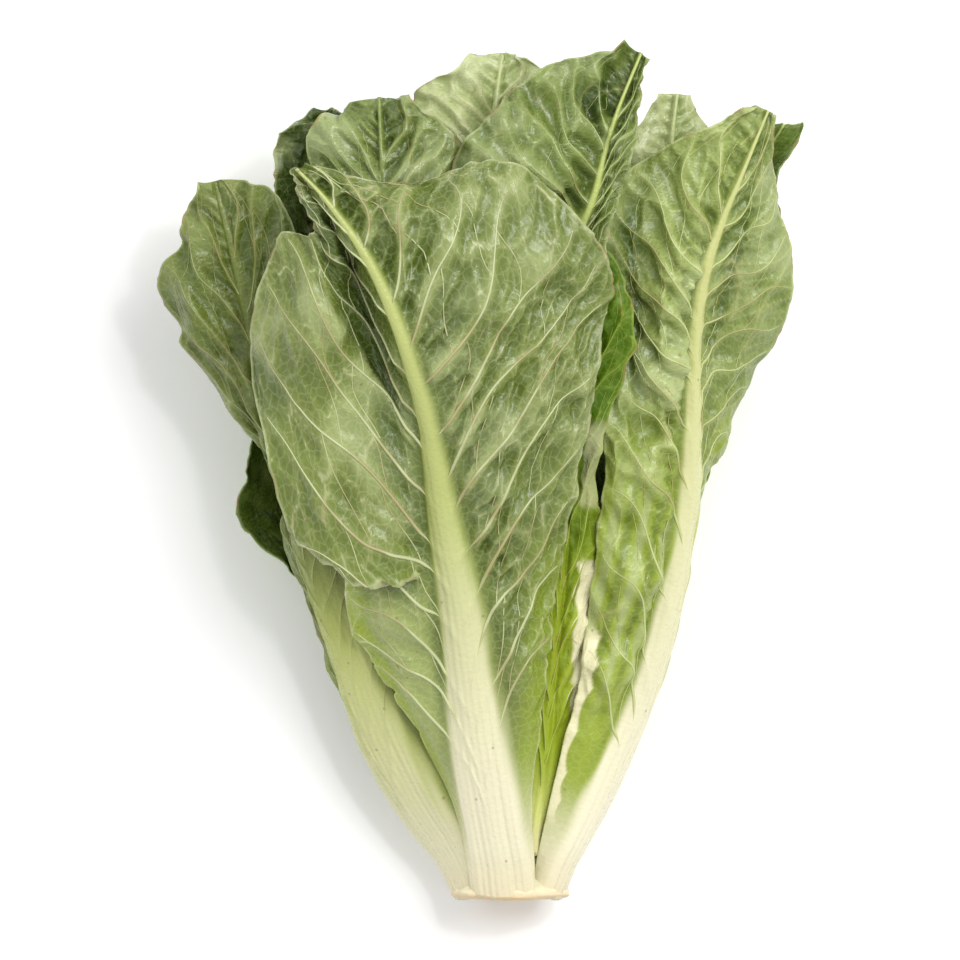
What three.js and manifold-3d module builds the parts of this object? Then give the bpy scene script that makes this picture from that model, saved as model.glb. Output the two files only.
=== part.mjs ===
// A head of romaine lettuce, cut from its root and lying on its back on a flat surface.
// Millimetres, +Z up. +Y runs along the head from the cut butt to the leaf tips, and +X is to the right
// when the head is seen from above with its tips away. The origin is on the surface, under the middle
// of the head's length and width.
//
// The head is a short stem core and the leaves that grow from it. Each leaf is a solid of its own:
// a thin blade, curved and waved, with a thick rib up its outer face that thins towards the tip.
// Outer leaves are laid out one by one from three lines: the rib and the two margins. The leaves of the
// heart follow one rule: each stands in its own shell round the heart's axis, a golden angle from the last.

import * as THREE from "three";
import { mergeVertices } from "three/addons/utils/BufferGeometryUtils.js";
import Module from "manifold-3d";

const wasm = await Module();
wasm.setup();

// ---------------------------------------------------------------- driving dimensions
const BUTT_Y = -142.5; // the cut face at the bottom of the head
const BUTT_RADIUS = 19.5;
const BUTT_LENGTH = 3; // the thick end of the core, which the leaf bases stand on
const CORE_RADIUS = 9.6; // the core inside the leaf bases
const CORE_TOP_Y = -106;
const CORE_TOP_RADIUS = 4.5;
const CORE_SIDES = 28;
const BLADE = 0.9; // thickness of a leaf blade

// The heart's axis rises from the butt, because the head is wider at its top and lies on its side.
const AXIS = [
  [9.5, -142.5, 20],
  [9, -120, 24],
  [6, -60, 36],
  [3, 0, 47],
  [0, 60, 55],
  [0, 110, 58],
];

// ---------------------------------------------------------------- lines and profiles
const line = (points) =>
  new THREE.CatmullRomCurve3(points.map((p) => new THREE.Vector3(...p)), false, "catmullrom", 0.5);

// Height of a smooth step from 0 to 1 while x goes from a to b.
function step(x, a, b) {
  const t = Math.min(1, Math.max(0, (x - a) / (b - a)));
  return t * t * (3 - 2 * t);
}

// A smooth hump, 1 at the middle and 0 beyond the half-width.
const hump = (x, middle, half) => step(1 - Math.abs(x - middle) / half, 0, 1);

const axis = line(AXIS);
function axisAt(y) {
  let low = 0;
  let high = 1;
  for (let i = 0; i < 24; i++) {
    const middle = (low + high) / 2;
    if (axis.getPoint(middle).y < y) {
      low = middle;
    } else {
      high = middle;
    }
  }
  return axis.getPoint(low);
}

// ---------------------------------------------------------------- leaf surfaces
// A surface is a function of u, from -1 at the left margin over 0 at the rib to 1 at the right margin,
// and v, from 0 at the base to 1 at the tip. Left and right are as seen from outside with the base down.

// A leaf stretched between its rib and its two margins. bow is how far each half swells outwards,
// folds are dents and ridges in it, and waves ruffle its margins.
function stretched({ stations, bow, folds = [], waves }) {
  const lines = [0, 1, 2].map((k) => line(stations.map((station) => station[k])));
  return (u, v) => {
    const [l, m, r] = lines.map((c) => c.getPoint(v));
    const along = lines[1].getTangent(v);
    const across = r.clone().sub(l);
    const out = across.cross(along).normalize();
    const s = Math.abs(u);
    const edge = u < 0 ? l : r;
    const swell = (u < 0 ? bow[0] : bow[1]) * Math.sin(Math.PI * Math.min(1, 0.12 + 0.9 * v));
    const point = m.clone().lerp(edge, s);
    let lift = 4 * swell * s * (1 - s);
    for (const f of folds) {
      lift += f.height * hump(u, f.u + f.lean * (v - f.v), f.width) * hump(v, f.v, f.length);
    }
    lift += ruffle(u, v, waves);
    return point.addScaledVector(out, lift);
  };
}

// The ruffled margin: three waves of unlike length, growing towards the margin and fading at the base.
function ruffle(u, v, { height, count, phase }) {
  const reach = Math.abs(u) ** 2.5 * step(v, 0.12, 0.45);
  const side = u < 0 ? 1.7 : 0;
  const turn = 2 * Math.PI * count * v + phase + side;
  return height * reach * (Math.sin(turn) + 0.5 * Math.sin(1.63 * turn + 1) + 0.3 * Math.sin(2.71 * turn + 2));
}

// A leaf of the heart, which keeps to a shell round the axis.
const GOLDEN_ANGLE = 137.5;
const HEART_LEAVES = 8;
const HEART_GAP = 2.4; // from one shell to the next
const HEART_BASE_WIDTH = 11; // half the heart's width at its base
const HEART_WIDTH = 30; // and at its widest
const HEART_FLATNESS = 0.8; // its height over its width
const heartRadius = (y) =>
  HEART_BASE_WIDTH + (HEART_WIDTH - HEART_BASE_WIDTH) * step(y, -128, 30) - 11 * step(y, 50, 128);

function shelled(number) {
  const base = -110 + 7.8 * number;
  const tip = 112 - 9 * number;
  const middle = 40 + GOLDEN_ANGLE * number;
  const spread = (v) => 34 + 52 * step(v, 0.05, 0.5) - 62 * step(v, 0.72, 1) ** 1.4;
  return (u, v) => {
    const sag = 9 * u * u * step(v, 0.6, 1); // the margin falls away from the tip
    const y = base + (tip - base) * v - sag;
    const a = THREE.MathUtils.degToRad(middle + u * -spread(v));
    const r = heartRadius(y) - HEART_GAP * number;
    const c = axisAt(y);
    return new THREE.Vector3(c.x + r * Math.cos(a), y, c.z + HEART_FLATNESS * r * Math.sin(a));
  };
}

// ---------------------------------------------------------------- a leaf's solid
// Columns follow the rib's two edges, so that the rib keeps its own width however wide the blade is.
const RIB_COLUMNS = [0, 0.5, 1];

function leafGeometry(surface, { rib, rows, columns, thick = BLADE }) {
  const halfRib = (v) => rib.half * (1 - v) ** 1.3 + 0.5;
  const depth = (v) => rib.depth * (1 - v) ** 1.2 + 0.2;
  const halfLength = (v, side) => {
    const m = surface(0, v);
    return m.distanceTo(surface(side * 0.5, v)) + surface(side * 0.5, v).distanceTo(surface(side, v));
  };
  const halfRow = (v, side) => {
    const edge = Math.min(0.8, halfRib(v) / halfLength(v, side));
    const inRib = RIB_COLUMNS.map((c) => ({ u: side * c * edge, c }));
    const inBlade = Array.from({ length: columns }, (_, i) => ({
      u: side * (edge + ((1 - edge) * (i + 1)) / columns),
      c: 1,
    }));
    return inRib.concat(inBlade);
  };
  const outer = [];
  const inner = [];
  const small = 1e-3;
  for (let i = 0; i <= rows; i++) {
    const v = i / rows;
    const row = halfRow(v, -1).reverse().concat(halfRow(v, 1).slice(1));
    for (const { u, c } of row) {
      const u0 = Math.max(-1, u - small);
      const u1 = Math.min(1, u + small);
      const v0 = Math.max(0, v - small);
      const v1 = Math.min(1, v + small);
      const across = surface(u1, v).sub(surface(u0, v));
      const along = surface(u, v1).sub(surface(u, v0));
      const out = across.cross(along).normalize();
      const point = surface(u, v);
      outer.push(point.clone().addScaledVector(out, thick / 2 + depth(v) * (1 - c * c)));
      inner.push(point.clone().addScaledVector(out, -thick / 2));
    }
  }
  return sheetGeometry(outer, inner, rows, outer.length / (rows + 1) - 1);
}

// Closes two grids of points, one over the other, into one body. Both are split the same way.
function sheetGeometry(outer, inner, rows, columns) {
  const wide = columns + 1;
  const count = outer.length;
  const index = [];
  const quad = (a, b, c, d) => index.push(a, b, c, a, c, d);
  for (let i = 0; i < rows; i++) {
    for (let j = 0; j < columns; j++) {
      const a = i * wide + j;
      const corners = [a, a + 1, a + 1 + wide, a + wide];
      quad(...corners);
      const [p, q, r, s] = corners.map((k) => k + count);
      index.push(p, r, q, p, s, r);
    }
  }
  const wall = (a, b) => quad(b, a, a + count, b + count);
  for (let j = 0; j < columns; j++) {
    wall(j, j + 1);
    wall(rows * wide + j + 1, rows * wide + j);
  }
  for (let i = 0; i < rows; i++) {
    wall((i + 1) * wide, i * wide);
    wall(i * wide + columns, (i + 1) * wide + columns);
  }
  const position = new Float32Array([...outer, ...inner].flatMap((p) => p.toArray()));
  return new THREE.BufferGeometry()
    .setAttribute("position", new THREE.BufferAttribute(position, 3))
    .setIndex(index);
}

// A body for joining and cutting. Its shared vertices are merged first.
function solid(geometry) {
  const bare = new THREE.BufferGeometry().setIndex(geometry.index);
  bare.setAttribute("position", geometry.getAttribute("position"));
  const merged = mergeVertices(bare);
  return new wasm.Manifold(
    new wasm.Mesh({
      numProp: 3,
      vertProperties: merged.getAttribute("position").array,
      triVerts: new Uint32Array(merged.index.array),
    }),
  );
}

// The lowest ribs are pressed flat where the head rests on them: what would be below z = 0 is cut away.
const ground = solid(new THREE.BoxGeometry(400, 400, 20).translate(0, 0, -10));
function pressedFlat(geometry) {
  const mesh = solid(geometry).subtract(ground).getMesh();
  return new THREE.BufferGeometry()
    .setAttribute("position", new THREE.BufferAttribute(mesh.vertProperties, 3))
    .setIndex(new THREE.BufferAttribute(mesh.triVerts, 1));
}

// ---------------------------------------------------------------- the outer leaves
// Each row of stations is one level up the leaf: its left margin, its rib and its right margin.
const LEAVES = {
  // The big leaf on top, which covers the front of the head.
  leaf_front: {
    stations: [
      [[-3, -136.4, 31], [8, -136.4, 35.5], [18, -136.4, 34]],
      [[-11, -106, 40], [3, -108, 47], [17, -105, 44]],
      [[-30, -73, 48], [-2, -75, 58.5], [21.5, -71, 54]],
      [[-45, -49, 58], [-7, -41, 72], [27, -35, 66]],
      [[-64, -16, 68], [-11.5, -18, 82], [32, 3, 79]],
      [[-77, 40, 80], [-17, 12, 95], [40, 43, 91]],
      [[-68, 78, 94], [-25.5, 40, 106], [42, 73, 98]],
      [[-56, 80, 104], [-37, 68, 113], [10, 103, 108]],
      [[-60, 92, 113], [-51, 90, 117], [-27, 97, 115]],
      [[-64, 100, 117], [-61, 101, 119], [-57, 104, 118]],
    ],
    bow: [5, 7],
    folds: [
      { u: -0.3, v: 0.7, width: 0.26, length: 0.34, height: -11, lean: -0.5 },
      { u: -0.68, v: 0.6, width: 0.32, length: 0.34, height: 5, lean: -0.2 },
      { u: 0.45, v: 0.8, width: 0.35, length: 0.22, height: 3, lean: 0 },
    ],
    waves: { height: 1.6, count: 4.5, phase: 0.4 },
    ribSize: { half: 13, depth: 6.5 },
    rows: 22,
    columns: 4,
    colour: 0x9db36f,
  },
  leaf_right: {
    stations: [
      [[16.5, -137, 30.5], [23, -136.3, 26], [24.5, -136.3, 17]],
      [[24, -104, 39], [36, -108, 30], [41, -108, 19]],
      [[30, -78, 46.5], [50, -75, 38], [55, -75, 25]],
      [[35, -50, 56.5], [60, -42, 50], [66, -42, 33]],
      [[38.5, -15, 67], [67, -8, 61], [71, -8, 42]],
      [[40, 14, 73], [69, 20, 70], [80, 8, 48]],
      [[41, 40, 77], [70, 45, 77], [88, 27, 55]],
      [[39, 68, 81], [73, 65, 82], [100, 48, 64]],
      [[42, 92, 84], [79, 83, 86], [103, 71, 72]],
      [[62, 110, 89], [86, 99, 90], [97, 95, 81]],
      [[91, 122, 92], [95, 121, 92], [97, 119, 91]],
    ],
    bow: [7, 5],
    folds: [
      { u: -0.66, v: 0.66, width: 0.3, length: 0.3, height: -7, lean: -0.3 },
      { u: -0.3, v: 0.74, width: 0.26, length: 0.26, height: 3, lean: 0 },
      { u: 0.3, v: 0.72, width: 0.3, length: 0.3, height: -5, lean: 0 },
    ],
    waves: { height: 1.6, count: 4, phase: 1.1 },
    ribSize: { half: 9.5, depth: 6 },
    rows: 20,
    columns: 4,
    colour: 0x9db36f,
  },
  leaf_left: {
    stations: [
      [[-6.5, -136.3, 17], [-6.5, -136.3, 24], [1, -136.3, 30.5]],
      [[-25, -112, 16], [-21.5, -115, 27], [-6, -112, 36.5]],
      [[-40, -88, 20], [-34.5, -88, 32], [-15, -85, 42.5]],
      [[-49, -63, 26], [-44.5, -58, 39], [-26, -57, 50]],
      [[-57, -42, 31], [-51, -41, 44], [-32, -38, 56]],
      [[-63, -23, 36], [-57, -26, 48], [-38, -22, 61]],
      [[-68, -1, 41], [-64, -5, 52], [-46, 0, 66]],
      [[-87, 27.5, 46], [-71, 24, 57], [-50, 30, 70]],
      [[-108.5, 59, 52.5], [-78, 55, 62], [-55, 62, 73]],
      [[-100, 82, 59], [-84, 78, 65], [-68, 93, 70]],
      [[-94, 97, 65], [-89, 98, 66], [-85, 99, 66]],
    ],
    bow: [5, 4],
    folds: [
      { u: -0.5, v: 0.62, width: 0.3, length: 0.16, height: -6, lean: 0 },
      { u: -0.55, v: 0.8, width: 0.3, length: 0.14, height: 5, lean: 0 },
    ],
    waves: { height: 2.2, count: 5, phase: 2.3 },
    ribSize: { half: 8.5, depth: 5.5 },
    rows: 20,
    columns: 4,
    colour: 0x8fa765,
  },
  // It shows in the slot between the front and the right leaf.
  leaf_slot: {
    stations: [
      [[12.5, -125, 34], [16, -125, 33], [19, -124, 31]],
      [[13.5, -97, 40.5], [20, -95, 38.5], [28, -96, 35]],
      [[14, -62, 51], [23, -62, 48], [35, -66, 43]],
      [[17, -22, 64], [27, -24, 61], [39.5, -28, 54.5]],
      [[20, 20, 78], [29, 14, 74], [39, 4, 72]],
      [[23, 45, 84], [34, 45, 83], [51, 42, 88]],
      [[25, 66, 87], [35, 66, 86], [48.5, 64, 90.5]],
      [[28, 82, 87], [33, 82, 86], [36, 81, 88.5]],
    ],
    bow: [2, 2],
    waves: { height: 1, count: 4, phase: 0.9 },
    ribSize: { half: 4, depth: 1.8 },
    rows: 14,
    columns: 3,
    colour: 0x93ad3c,
  },
  leaf_crown: {
    stations: [
      [[8, -118, 39], [11, -118, 38.5], [13.5, -118, 38]],
      [[5, -90, 48.5], [11, -90, 47.5], [15.5, -90, 46.5]],
      [[1, -50, 62], [12, -50, 60], [18, -50, 57.5]],
      [[-5, 0, 79], [17, 0, 75.5], [26, 0, 73.5]],
      [[-8, 45, 91.5], [24, 45, 87.5], [34, 45, 86]],
      [[-9, 80, 96], [32, 77, 93], [41, 78, 91]],
      [[-7, 107, 98], [38, 92, 95], [46, 92, 93]],
      [[6, 123.5, 98], [42, 108, 96], [49, 103, 95]],
      [[24, 136.5, 96], [46, 122, 96], [53, 118, 95]],
      [[47, 142.2, 95], [53, 140, 94], [55, 138, 94]],
    ],
    bow: [4, 2],
    folds: [
      { u: -0.4, v: 0.72, width: 0.3, length: 0.16, height: 4, lean: 0.4 },
      { u: -0.3, v: 0.88, width: 0.3, length: 0.12, height: -4, lean: 0 },
    ],
    waves: { height: 1.8, count: 4, phase: 0.2 },
    ribSize: { half: 4, depth: 2 },
    rows: 16,
    columns: 4,
    colour: 0x95ac66,
  },
  leaf_upper_left: {
    stations: [
      [[0, -118, 35], [3, -118, 37], [5.5, -118, 38]],
      [[-14, -90, 36], [-5, -90, 44.5], [1, -90, 47.5]],
      [[-26, -50, 44], [-13, -50, 56], [-3, -50, 60]],
      [[-40, 0, 59], [-22, 0, 70], [-8, 0, 76]],
      [[-50, 45, 73], [-29, 45, 82], [-11, 45, 87]],
      [[-55, 80, 77], [-31, 80, 88], [-10, 78, 91]],
      [[-57, 110, 80], [-33, 104, 90], [-7, 108, 92]],
      [[-44, 124, 86], [-34, 125.5, 88], [-24, 125, 89]],
    ],
    bow: [4, 3],
    waves: { height: 1.8, count: 4, phase: 2.9 },
    ribSize: { half: 4, depth: 1.8 },
    rows: 15,
    columns: 4,
    colour: 0x7f9b50,
  },
  leaf_top: {
    stations: [
      [[5, -108, 37], [8, -108, 37.3], [11, -108, 37]],
      [[-3, -70, 47.5], [4, -70, 49], [10, -70, 49]],
      [[-11, -20, 62], [1, -20, 66], [11, -20, 66]],
      [[-19, 30, 73], [0, 30, 78.5], [14, 30, 78]],
      [[-25, 75, 79], [2, 75, 83], [20, 75, 80]],
      [[-26, 112, 81], [4, 106, 84], [29, 106, 81]],
      [[-22, 127, 80], [5, 124, 83], [30, 126, 81]],
      [[-2, 138.5, 80], [7, 140.3, 80], [14, 139.5, 80]],
    ],
    bow: [3, 3],
    waves: { height: 1.8, count: 4, phase: 1.9 },
    ribSize: { half: 3, depth: 1 },
    rows: 14,
    columns: 4,
    colour: 0x90a962,
  },
  leaf_top_right: {
    stations: [
      [[21, -118, 28.5], [22, -118, 26.5], [22, -118, 24]],
      [[29, -85, 36], [36, -85, 33], [39, -85, 27]],
      [[35, -40, 46], [47, -40, 42], [53, -40, 34]],
      [[43, 10, 60], [55, 10, 56], [66, 10, 45]],
      [[47, 60, 71], [60, 60, 67], [76, 60, 58]],
      [[48, 92, 75], [62, 90, 73], [80, 90, 67]],
      [[50, 112, 77], [63, 111, 76], [80, 108, 71]],
      [[59.5, 126, 77], [65, 127, 76.5], [70.5, 125.5, 75.5]],
    ],
    bow: [3, 3],
    waves: { height: 1.5, count: 4, phase: 0.7 },
    ribSize: { half: 3.5, depth: 1.6 },
    rows: 13,
    columns: 3,
    colour: 0x9ab07b,
  },
  // Inner leaves on both sides, between the outer leaves above and below.
  leaf_side_right: {
    stations: [
      [[22, -118, 22.5], [21.5, -118, 20], [21.5, -118, 16]],
      [[38, -85, 24.5], [36, -85, 20], [33, -85, 13.5]],
      [[53, -40, 30], [51, -40, 23], [42, -40, 13]],
      [[66, 10, 41], [63, 10, 30], [48, 10, 17]],
      [[77, 60, 54], [70, 60, 43], [52, 60, 30]],
      [[82, 95, 64], [72, 100, 58], [57, 100, 48]],
      [[73, 121, 67], [70, 122, 66], [67, 121, 65]],
    ],
    bow: [2, 2],
    waves: { height: 1, count: 4, phase: 1.6 },
    ribSize: { half: 3.5, depth: 1.4 },
    rows: 12,
    columns: 3,
    colour: 0x9ab07b,
  },
  leaf_side_left: {
    stations: [
      [[-1, -118, 15.5], [-3, -118, 20], [-3, -118, 25]],
      [[-14, -85, 13], [-20, -85, 21], [-21, -85, 29]],
      [[-24, -40, 14], [-36, -40, 25], [-38, -40, 37]],
      [[-34, 10, 18], [-49, 10, 34], [-52, 10, 49]],
      [[-40, 60, 31], [-58, 60, 46], [-66, 60, 60]],
      [[-46, 92, 47], [-61, 92, 57], [-69, 92, 64]],
      [[-44, 112, 59], [-57, 112, 64], [-67.5, 113, 66]],
      [[-46, 122, 68], [-50, 122.5, 68], [-56, 120, 67]],
    ],
    bow: [2, 2],
    waves: { height: 1, count: 4, phase: 2.4 },
    ribSize: { half: 3.5, depth: 1.4 },
    rows: 12,
    columns: 3,
    colour: 0x8fa765,
  },
  // The leaves underneath, which the head lies on.
  leaf_under_right: {
    stations: [
      [[23, -136.3, 16], [21.5, -136.3, 11.5], [17, -136.3, 8.5]],
      [[35, -106, 20], [34, -105, 7.5], [20, -105, 5.5]],
      [[51, -68, 26], [48, -65, 5], [26, -65, 5]],
      [[66, -22, 33], [60, -20, 4.6], [30, -20, 4.5]],
      [[82, 20, 41], [68, 28, 1.5], [38, 25, 5]],
      [[97, 70, 56], [80, 70, 16], [52, 75, 16]],
      [[99.5, 96, 60], [89, 96, 40], [70, 100, 40]],
      [[106.5, 116.5, 63], [101, 117, 60], [94, 117, 57]],
    ],
    bow: [4, 3],
    waves: { height: 2, count: 4, phase: 1.4 },
    ribSize: { half: 8, depth: 4.5 },
    rows: 15,
    columns: 4,
    colour: 0x6f8f3c,
  },
  leaf_under_left: {
    stations: [
      [[0, -136.3, 9.5], [-3, -136.3, 12], [-5.5, -136.3, 17]],
      [[-6, -108, 6.5], [-15, -108, 8.5], [-20, -108, 17]],
      [[-10, -75, 5.5], [-26, -75, 6], [-33, -78, 22]],
      [[-14, -48, 5], [-35, -48, 4.5], [-42, -54, 26]],
      [[-17, -28, 4.5], [-42, -28, 3.4], [-61, -36, 26]],
      [[-20, -2, 4.5], [-47, -2, 3.2], [-81, -15, 30]],
      [[-24, 28, 5], [-50, 30, 1.5], [-76, 12, 36]],
      [[-28, 70, 14], [-54, 70, 14], [-78, 70, 46]],
      [[-45, 112, 46], [-52, 112, 48], [-60, 111, 52]],
    ],
    bow: [3, 4],
    waves: { height: 2.4, count: 5, phase: 0.5 },
    ribSize: { half: 8, depth: 4.5 },
    rows: 15,
    columns: 4,
    colour: 0x54702c,
  },
  leaf_under: {
    stations: [
      [[14.5, -136.3, 7.5], [9.5, -136.3, 5], [4, -136.3, 7.5]],
      [[20, -105, 8.5], [8, -105, 3.3], [-3, -105, 9.5]],
      [[26, -65, 9.5], [7, -65, 5.5], [-11, -65, 10]],
      [[33, -20, 12], [6, -20, 9], [-20, -20, 11.5]],
      [[40, 25, 16], [6, 25, 13], [-30, 25, 17]],
      [[34, 72, 28], [5, 70, 24], [-26, 72, 28]],
      [[10, 109, 45], [4, 108, 44], [-2, 109, 45]],
    ],
    bow: [1, 1],
    waves: { height: 1.2, count: 4, phase: 2.2 },
    ribSize: { half: 7, depth: 4 },
    rows: 13,
    columns: 3,
    colour: 0x86a04f,
  },
};

// ---------------------------------------------------------------- assembly
const head = new THREE.Group();

function add(name, geometry, colour, roughness) {
  const material = new THREE.MeshStandardMaterial({ color: colour, roughness, metalness: 0 });
  const mesh = new THREE.Mesh(geometry, material);
  mesh.name = name;
  head.add(mesh);
}

for (const [name, leaf] of Object.entries(LEAVES)) {
  const { ribSize: rib, rows, columns, colour } = leaf;
  const geometry = leafGeometry(stretched(leaf), { rib, rows, columns });
  add(name, name.startsWith("leaf_under") ? pressedFlat(geometry) : geometry, colour, 0.45);
}

for (let n = 0; n < HEART_LEAVES; n++) {
  const rib = { half: 5 - 0.3 * n, depth: 1 };
  const geometry = leafGeometry(shelled(n), { rib, rows: 10 - Math.floor(n / 2), columns: 3 });
  add(`heart_leaf_${n + 1}`, geometry, n < 4 ? 0xa3b65a : 0xc4cf7e, 0.5);
}

// The core: the butt's thick cut end and, inside the leaves, a blunt cone that follows the axis.
const profile = [
  [0, BUTT_Y],
  [BUTT_RADIUS - 1, BUTT_Y],
  [BUTT_RADIUS, BUTT_Y + 1],
  [BUTT_RADIUS, BUTT_Y + BUTT_LENGTH],
  [CORE_RADIUS, BUTT_Y + BUTT_LENGTH],
  [CORE_RADIUS, BUTT_Y + 12],
  [CORE_RADIUS * 0.8, BUTT_Y + 24],
  [CORE_TOP_RADIUS, CORE_TOP_Y],
  [0, CORE_TOP_Y + 2],
].map(([r, y]) => new THREE.Vector2(r, y));
const core = new THREE.LatheGeometry(profile, CORE_SIDES);
const at = core.getAttribute("position");
for (let i = 0; i < at.count; i++) {
  const c = axisAt(Math.max(at.getY(i), BUTT_Y + 0.01));
  at.setXYZ(i, c.x + at.getX(i), at.getY(i), c.z + at.getZ(i));
}
add("stem_core", core, 0xeee6cc, 0.6);

export default head;
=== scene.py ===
# A head of romaine lettuce, cut from its root and laid on its back on a pale table.
# Each leaf is a thin blade with a thick rib up its back, grown from a short stem core.

import bpy
import numpy as np
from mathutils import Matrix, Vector


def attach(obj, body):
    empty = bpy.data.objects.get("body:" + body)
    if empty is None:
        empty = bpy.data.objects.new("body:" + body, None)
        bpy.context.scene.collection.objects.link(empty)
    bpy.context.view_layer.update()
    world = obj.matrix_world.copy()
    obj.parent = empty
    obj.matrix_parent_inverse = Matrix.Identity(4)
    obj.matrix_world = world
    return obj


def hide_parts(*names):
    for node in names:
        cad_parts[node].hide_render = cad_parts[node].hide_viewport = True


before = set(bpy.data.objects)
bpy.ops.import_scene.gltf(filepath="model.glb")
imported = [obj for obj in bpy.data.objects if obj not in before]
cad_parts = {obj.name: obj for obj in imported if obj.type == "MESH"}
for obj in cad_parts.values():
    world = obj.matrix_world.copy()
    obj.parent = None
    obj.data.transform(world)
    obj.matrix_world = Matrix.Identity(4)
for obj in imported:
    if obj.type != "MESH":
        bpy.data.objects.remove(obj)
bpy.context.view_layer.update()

# ---------------- table, light and camera
# The head lies on a plain pale table top, under a large soft light from its upper right
# and a weaker one from the left. The camera looks straight down through a long lens.

TABLE_WIDTH = 6
WORLD_LIGHT = 0.75


def plain_material(name, tint, roughness):
    material = bpy.data.materials.new(name)
    material.use_nodes = True
    shader = material.node_tree.nodes["Principled BSDF"]
    shader.inputs["Base Color"].default_value = (*tint, 1)
    shader.inputs["Roughness"].default_value = roughness
    return material


bpy.ops.mesh.primitive_plane_add(size=TABLE_WIDTH)
table = bpy.context.object
table.name = "table_top"
table.data.materials.append(plain_material("table_white", (0.97, 0.97, 0.97), 0.9))


def soft_light(name, place, size, power, aim=(0, 0, 0.05)):
    lamp = bpy.data.objects.new(name, bpy.data.lights.new(name, "AREA"))
    lamp.data.shape = "DISK"
    lamp.data.size = size
    lamp.data.energy = power
    lamp.location = place
    lamp.rotation_euler = (Vector(aim) - Vector(place)).to_track_quat("-Z", "Y").to_euler()
    bpy.context.collection.objects.link(lamp)


soft_light("key_light", place=(0.7, 0.6, 1.55), size=1.1, power=19)
soft_light("spark_light", place=(0.45, 0.5, 1.9), size=0.12, power=3.5)
soft_light("fill_light", place=(-1.1, 0.6, 1.3), size=1.2, power=5)

world = bpy.data.worlds.new("studio")
world.use_nodes = True
world.node_tree.nodes["Background"].inputs["Color"].default_value = (1, 1, 1, 1)
world.node_tree.nodes["Background"].inputs["Strength"].default_value = WORLD_LIGHT
bpy.context.scene.world = world
bpy.context.scene.view_settings.view_transform = "Standard"

camera = bpy.data.objects.new("camera", bpy.data.cameras.new("camera"))
camera.data.lens = 560
camera.data.sensor_width = 36
camera.data.clip_end = 20
camera.location = (-0.0005, -0.0015, 5.04)
bpy.context.collection.objects.link(camera)
bpy.context.scene.camera = camera

# ---------------- stem core
# The short stem that every leaf grows from, cut across at the bottom of the head. It is cream
# flesh, firm and moist, and its cut face has dried to a tan brown.

MM = 0.001  # lengths below are in millimetres
BUTT_Y = -142.5
BUTT_RADIUS = 19.8
TABLE_GAP = 0.3
HEAD_AXIS = [
    (9.5, -142.5, 20), (9, -120, 24), (6, -60, 36), (3, 0, 47), (0, 60, 55), (0, 110, 58),
]


def smooth(x, a, b):
    t = np.clip((np.asarray(x, float) - a) / (b - a), 0, 1)
    return t * t * (3 - 2 * t)


def hump(x, middle, half):
    return smooth(1 - np.abs(x - middle) / half, 0, 1)


def spline(points, t):
    """A Catmull-Rom line through the points, at each t from 0 to 1."""
    p = np.asarray(points, float)
    p = np.vstack([2 * p[0] - p[1], p, 2 * p[-1] - p[-2]])
    spans = len(p) - 3
    x = np.clip(np.asarray(t, float) * spans, 0, spans)
    i = np.minimum(x.astype(int), spans - 1)
    f = (x - i)[..., None]
    a, b, c, d = p[i], p[i + 1], p[i + 2], p[i + 3]
    return b + 0.5 * f * (c - a + f * (2 * a - 5 * b + 4 * c - d + f * (3 * (b - c) + d - a)))


AXIS_LINE = spline(HEAD_AXIS, np.linspace(0, 1, 400))


def axis_at(y):
    return [np.interp(y, AXIS_LINE[:, 1], AXIS_LINE[:, k]) for k in (0, 2)]


RANDOM_CELLS = 64  # random tables repeat after this many cells


def mottle(x, y, seed):
    """Smooth random patches, from -1 to 1, one unit across."""
    table = np.random.default_rng(seed).random((RANDOM_CELLS, RANDOM_CELLS))
    i, j = np.floor(x).astype(int), np.floor(y).astype(int)
    f, g = x - i, y - j
    f, g = f * f * (3 - 2 * f), g * g * (3 - 2 * g)
    value = lambda a, b: table[(i + a) % RANDOM_CELLS, (j + b) % RANDOM_CELLS]
    low = value(0, 0) * (1 - f) + value(1, 0) * f
    high = value(0, 1) * (1 - f) + value(1, 1) * f
    return 2 * (low * (1 - g) + high * g) - 1


def crumple(x, y, seed):
    """Patches with finer ones on them."""
    rough = mottle(x, y, seed) + 0.5 * mottle(2.1 * x, 2.1 * y, seed + 1)
    return rough + 0.25 * mottle(4.3 * x, 4.3 * y, seed + 2)


def new_piece(name, points, faces, material):
    mesh = bpy.data.meshes.new(name)
    mesh.from_pydata((np.asarray(points) * MM).tolist(), [], faces)
    mesh.polygons.foreach_set("use_smooth", [True] * len(mesh.polygons))
    mesh.materials.append(material)
    piece = bpy.data.objects.new(name, mesh)
    bpy.context.collection.objects.link(piece)
    return piece


def colour(red, green, blue):
    """A screen colour from 0 to 255, as the linear colour that a shader reads."""
    c = np.array([red, green, blue]) / 255
    return (*np.where(c < 0.04045, c / 12.92, ((c + 0.055) / 1.055) ** 2.4), 1)


def wired(made, inputs):
    """The node, once each of these inputs, by name or number, has its value or its link."""
    for label, value in dict(inputs).items():
        if isinstance(value, bpy.types.NodeSocket):
            made.id_data.links.new(value, made.inputs[label])
        else:
            made.inputs[label].default_value = value
    return made


def node(tree, kind, inputs=(), **settings):
    """A new node with these settings, which come first, and inputs."""
    made = tree.nodes.new(kind)
    for setting, value in settings.items():
        setattr(made, setting, value)
    return wired(made, inputs)


def mixed(factor, a, b):
    inputs = {0: factor, 6: a, 7: b}
    return node(factor.id_data, "ShaderNodeMix", inputs, data_type="RGBA").outputs[2]


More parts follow.
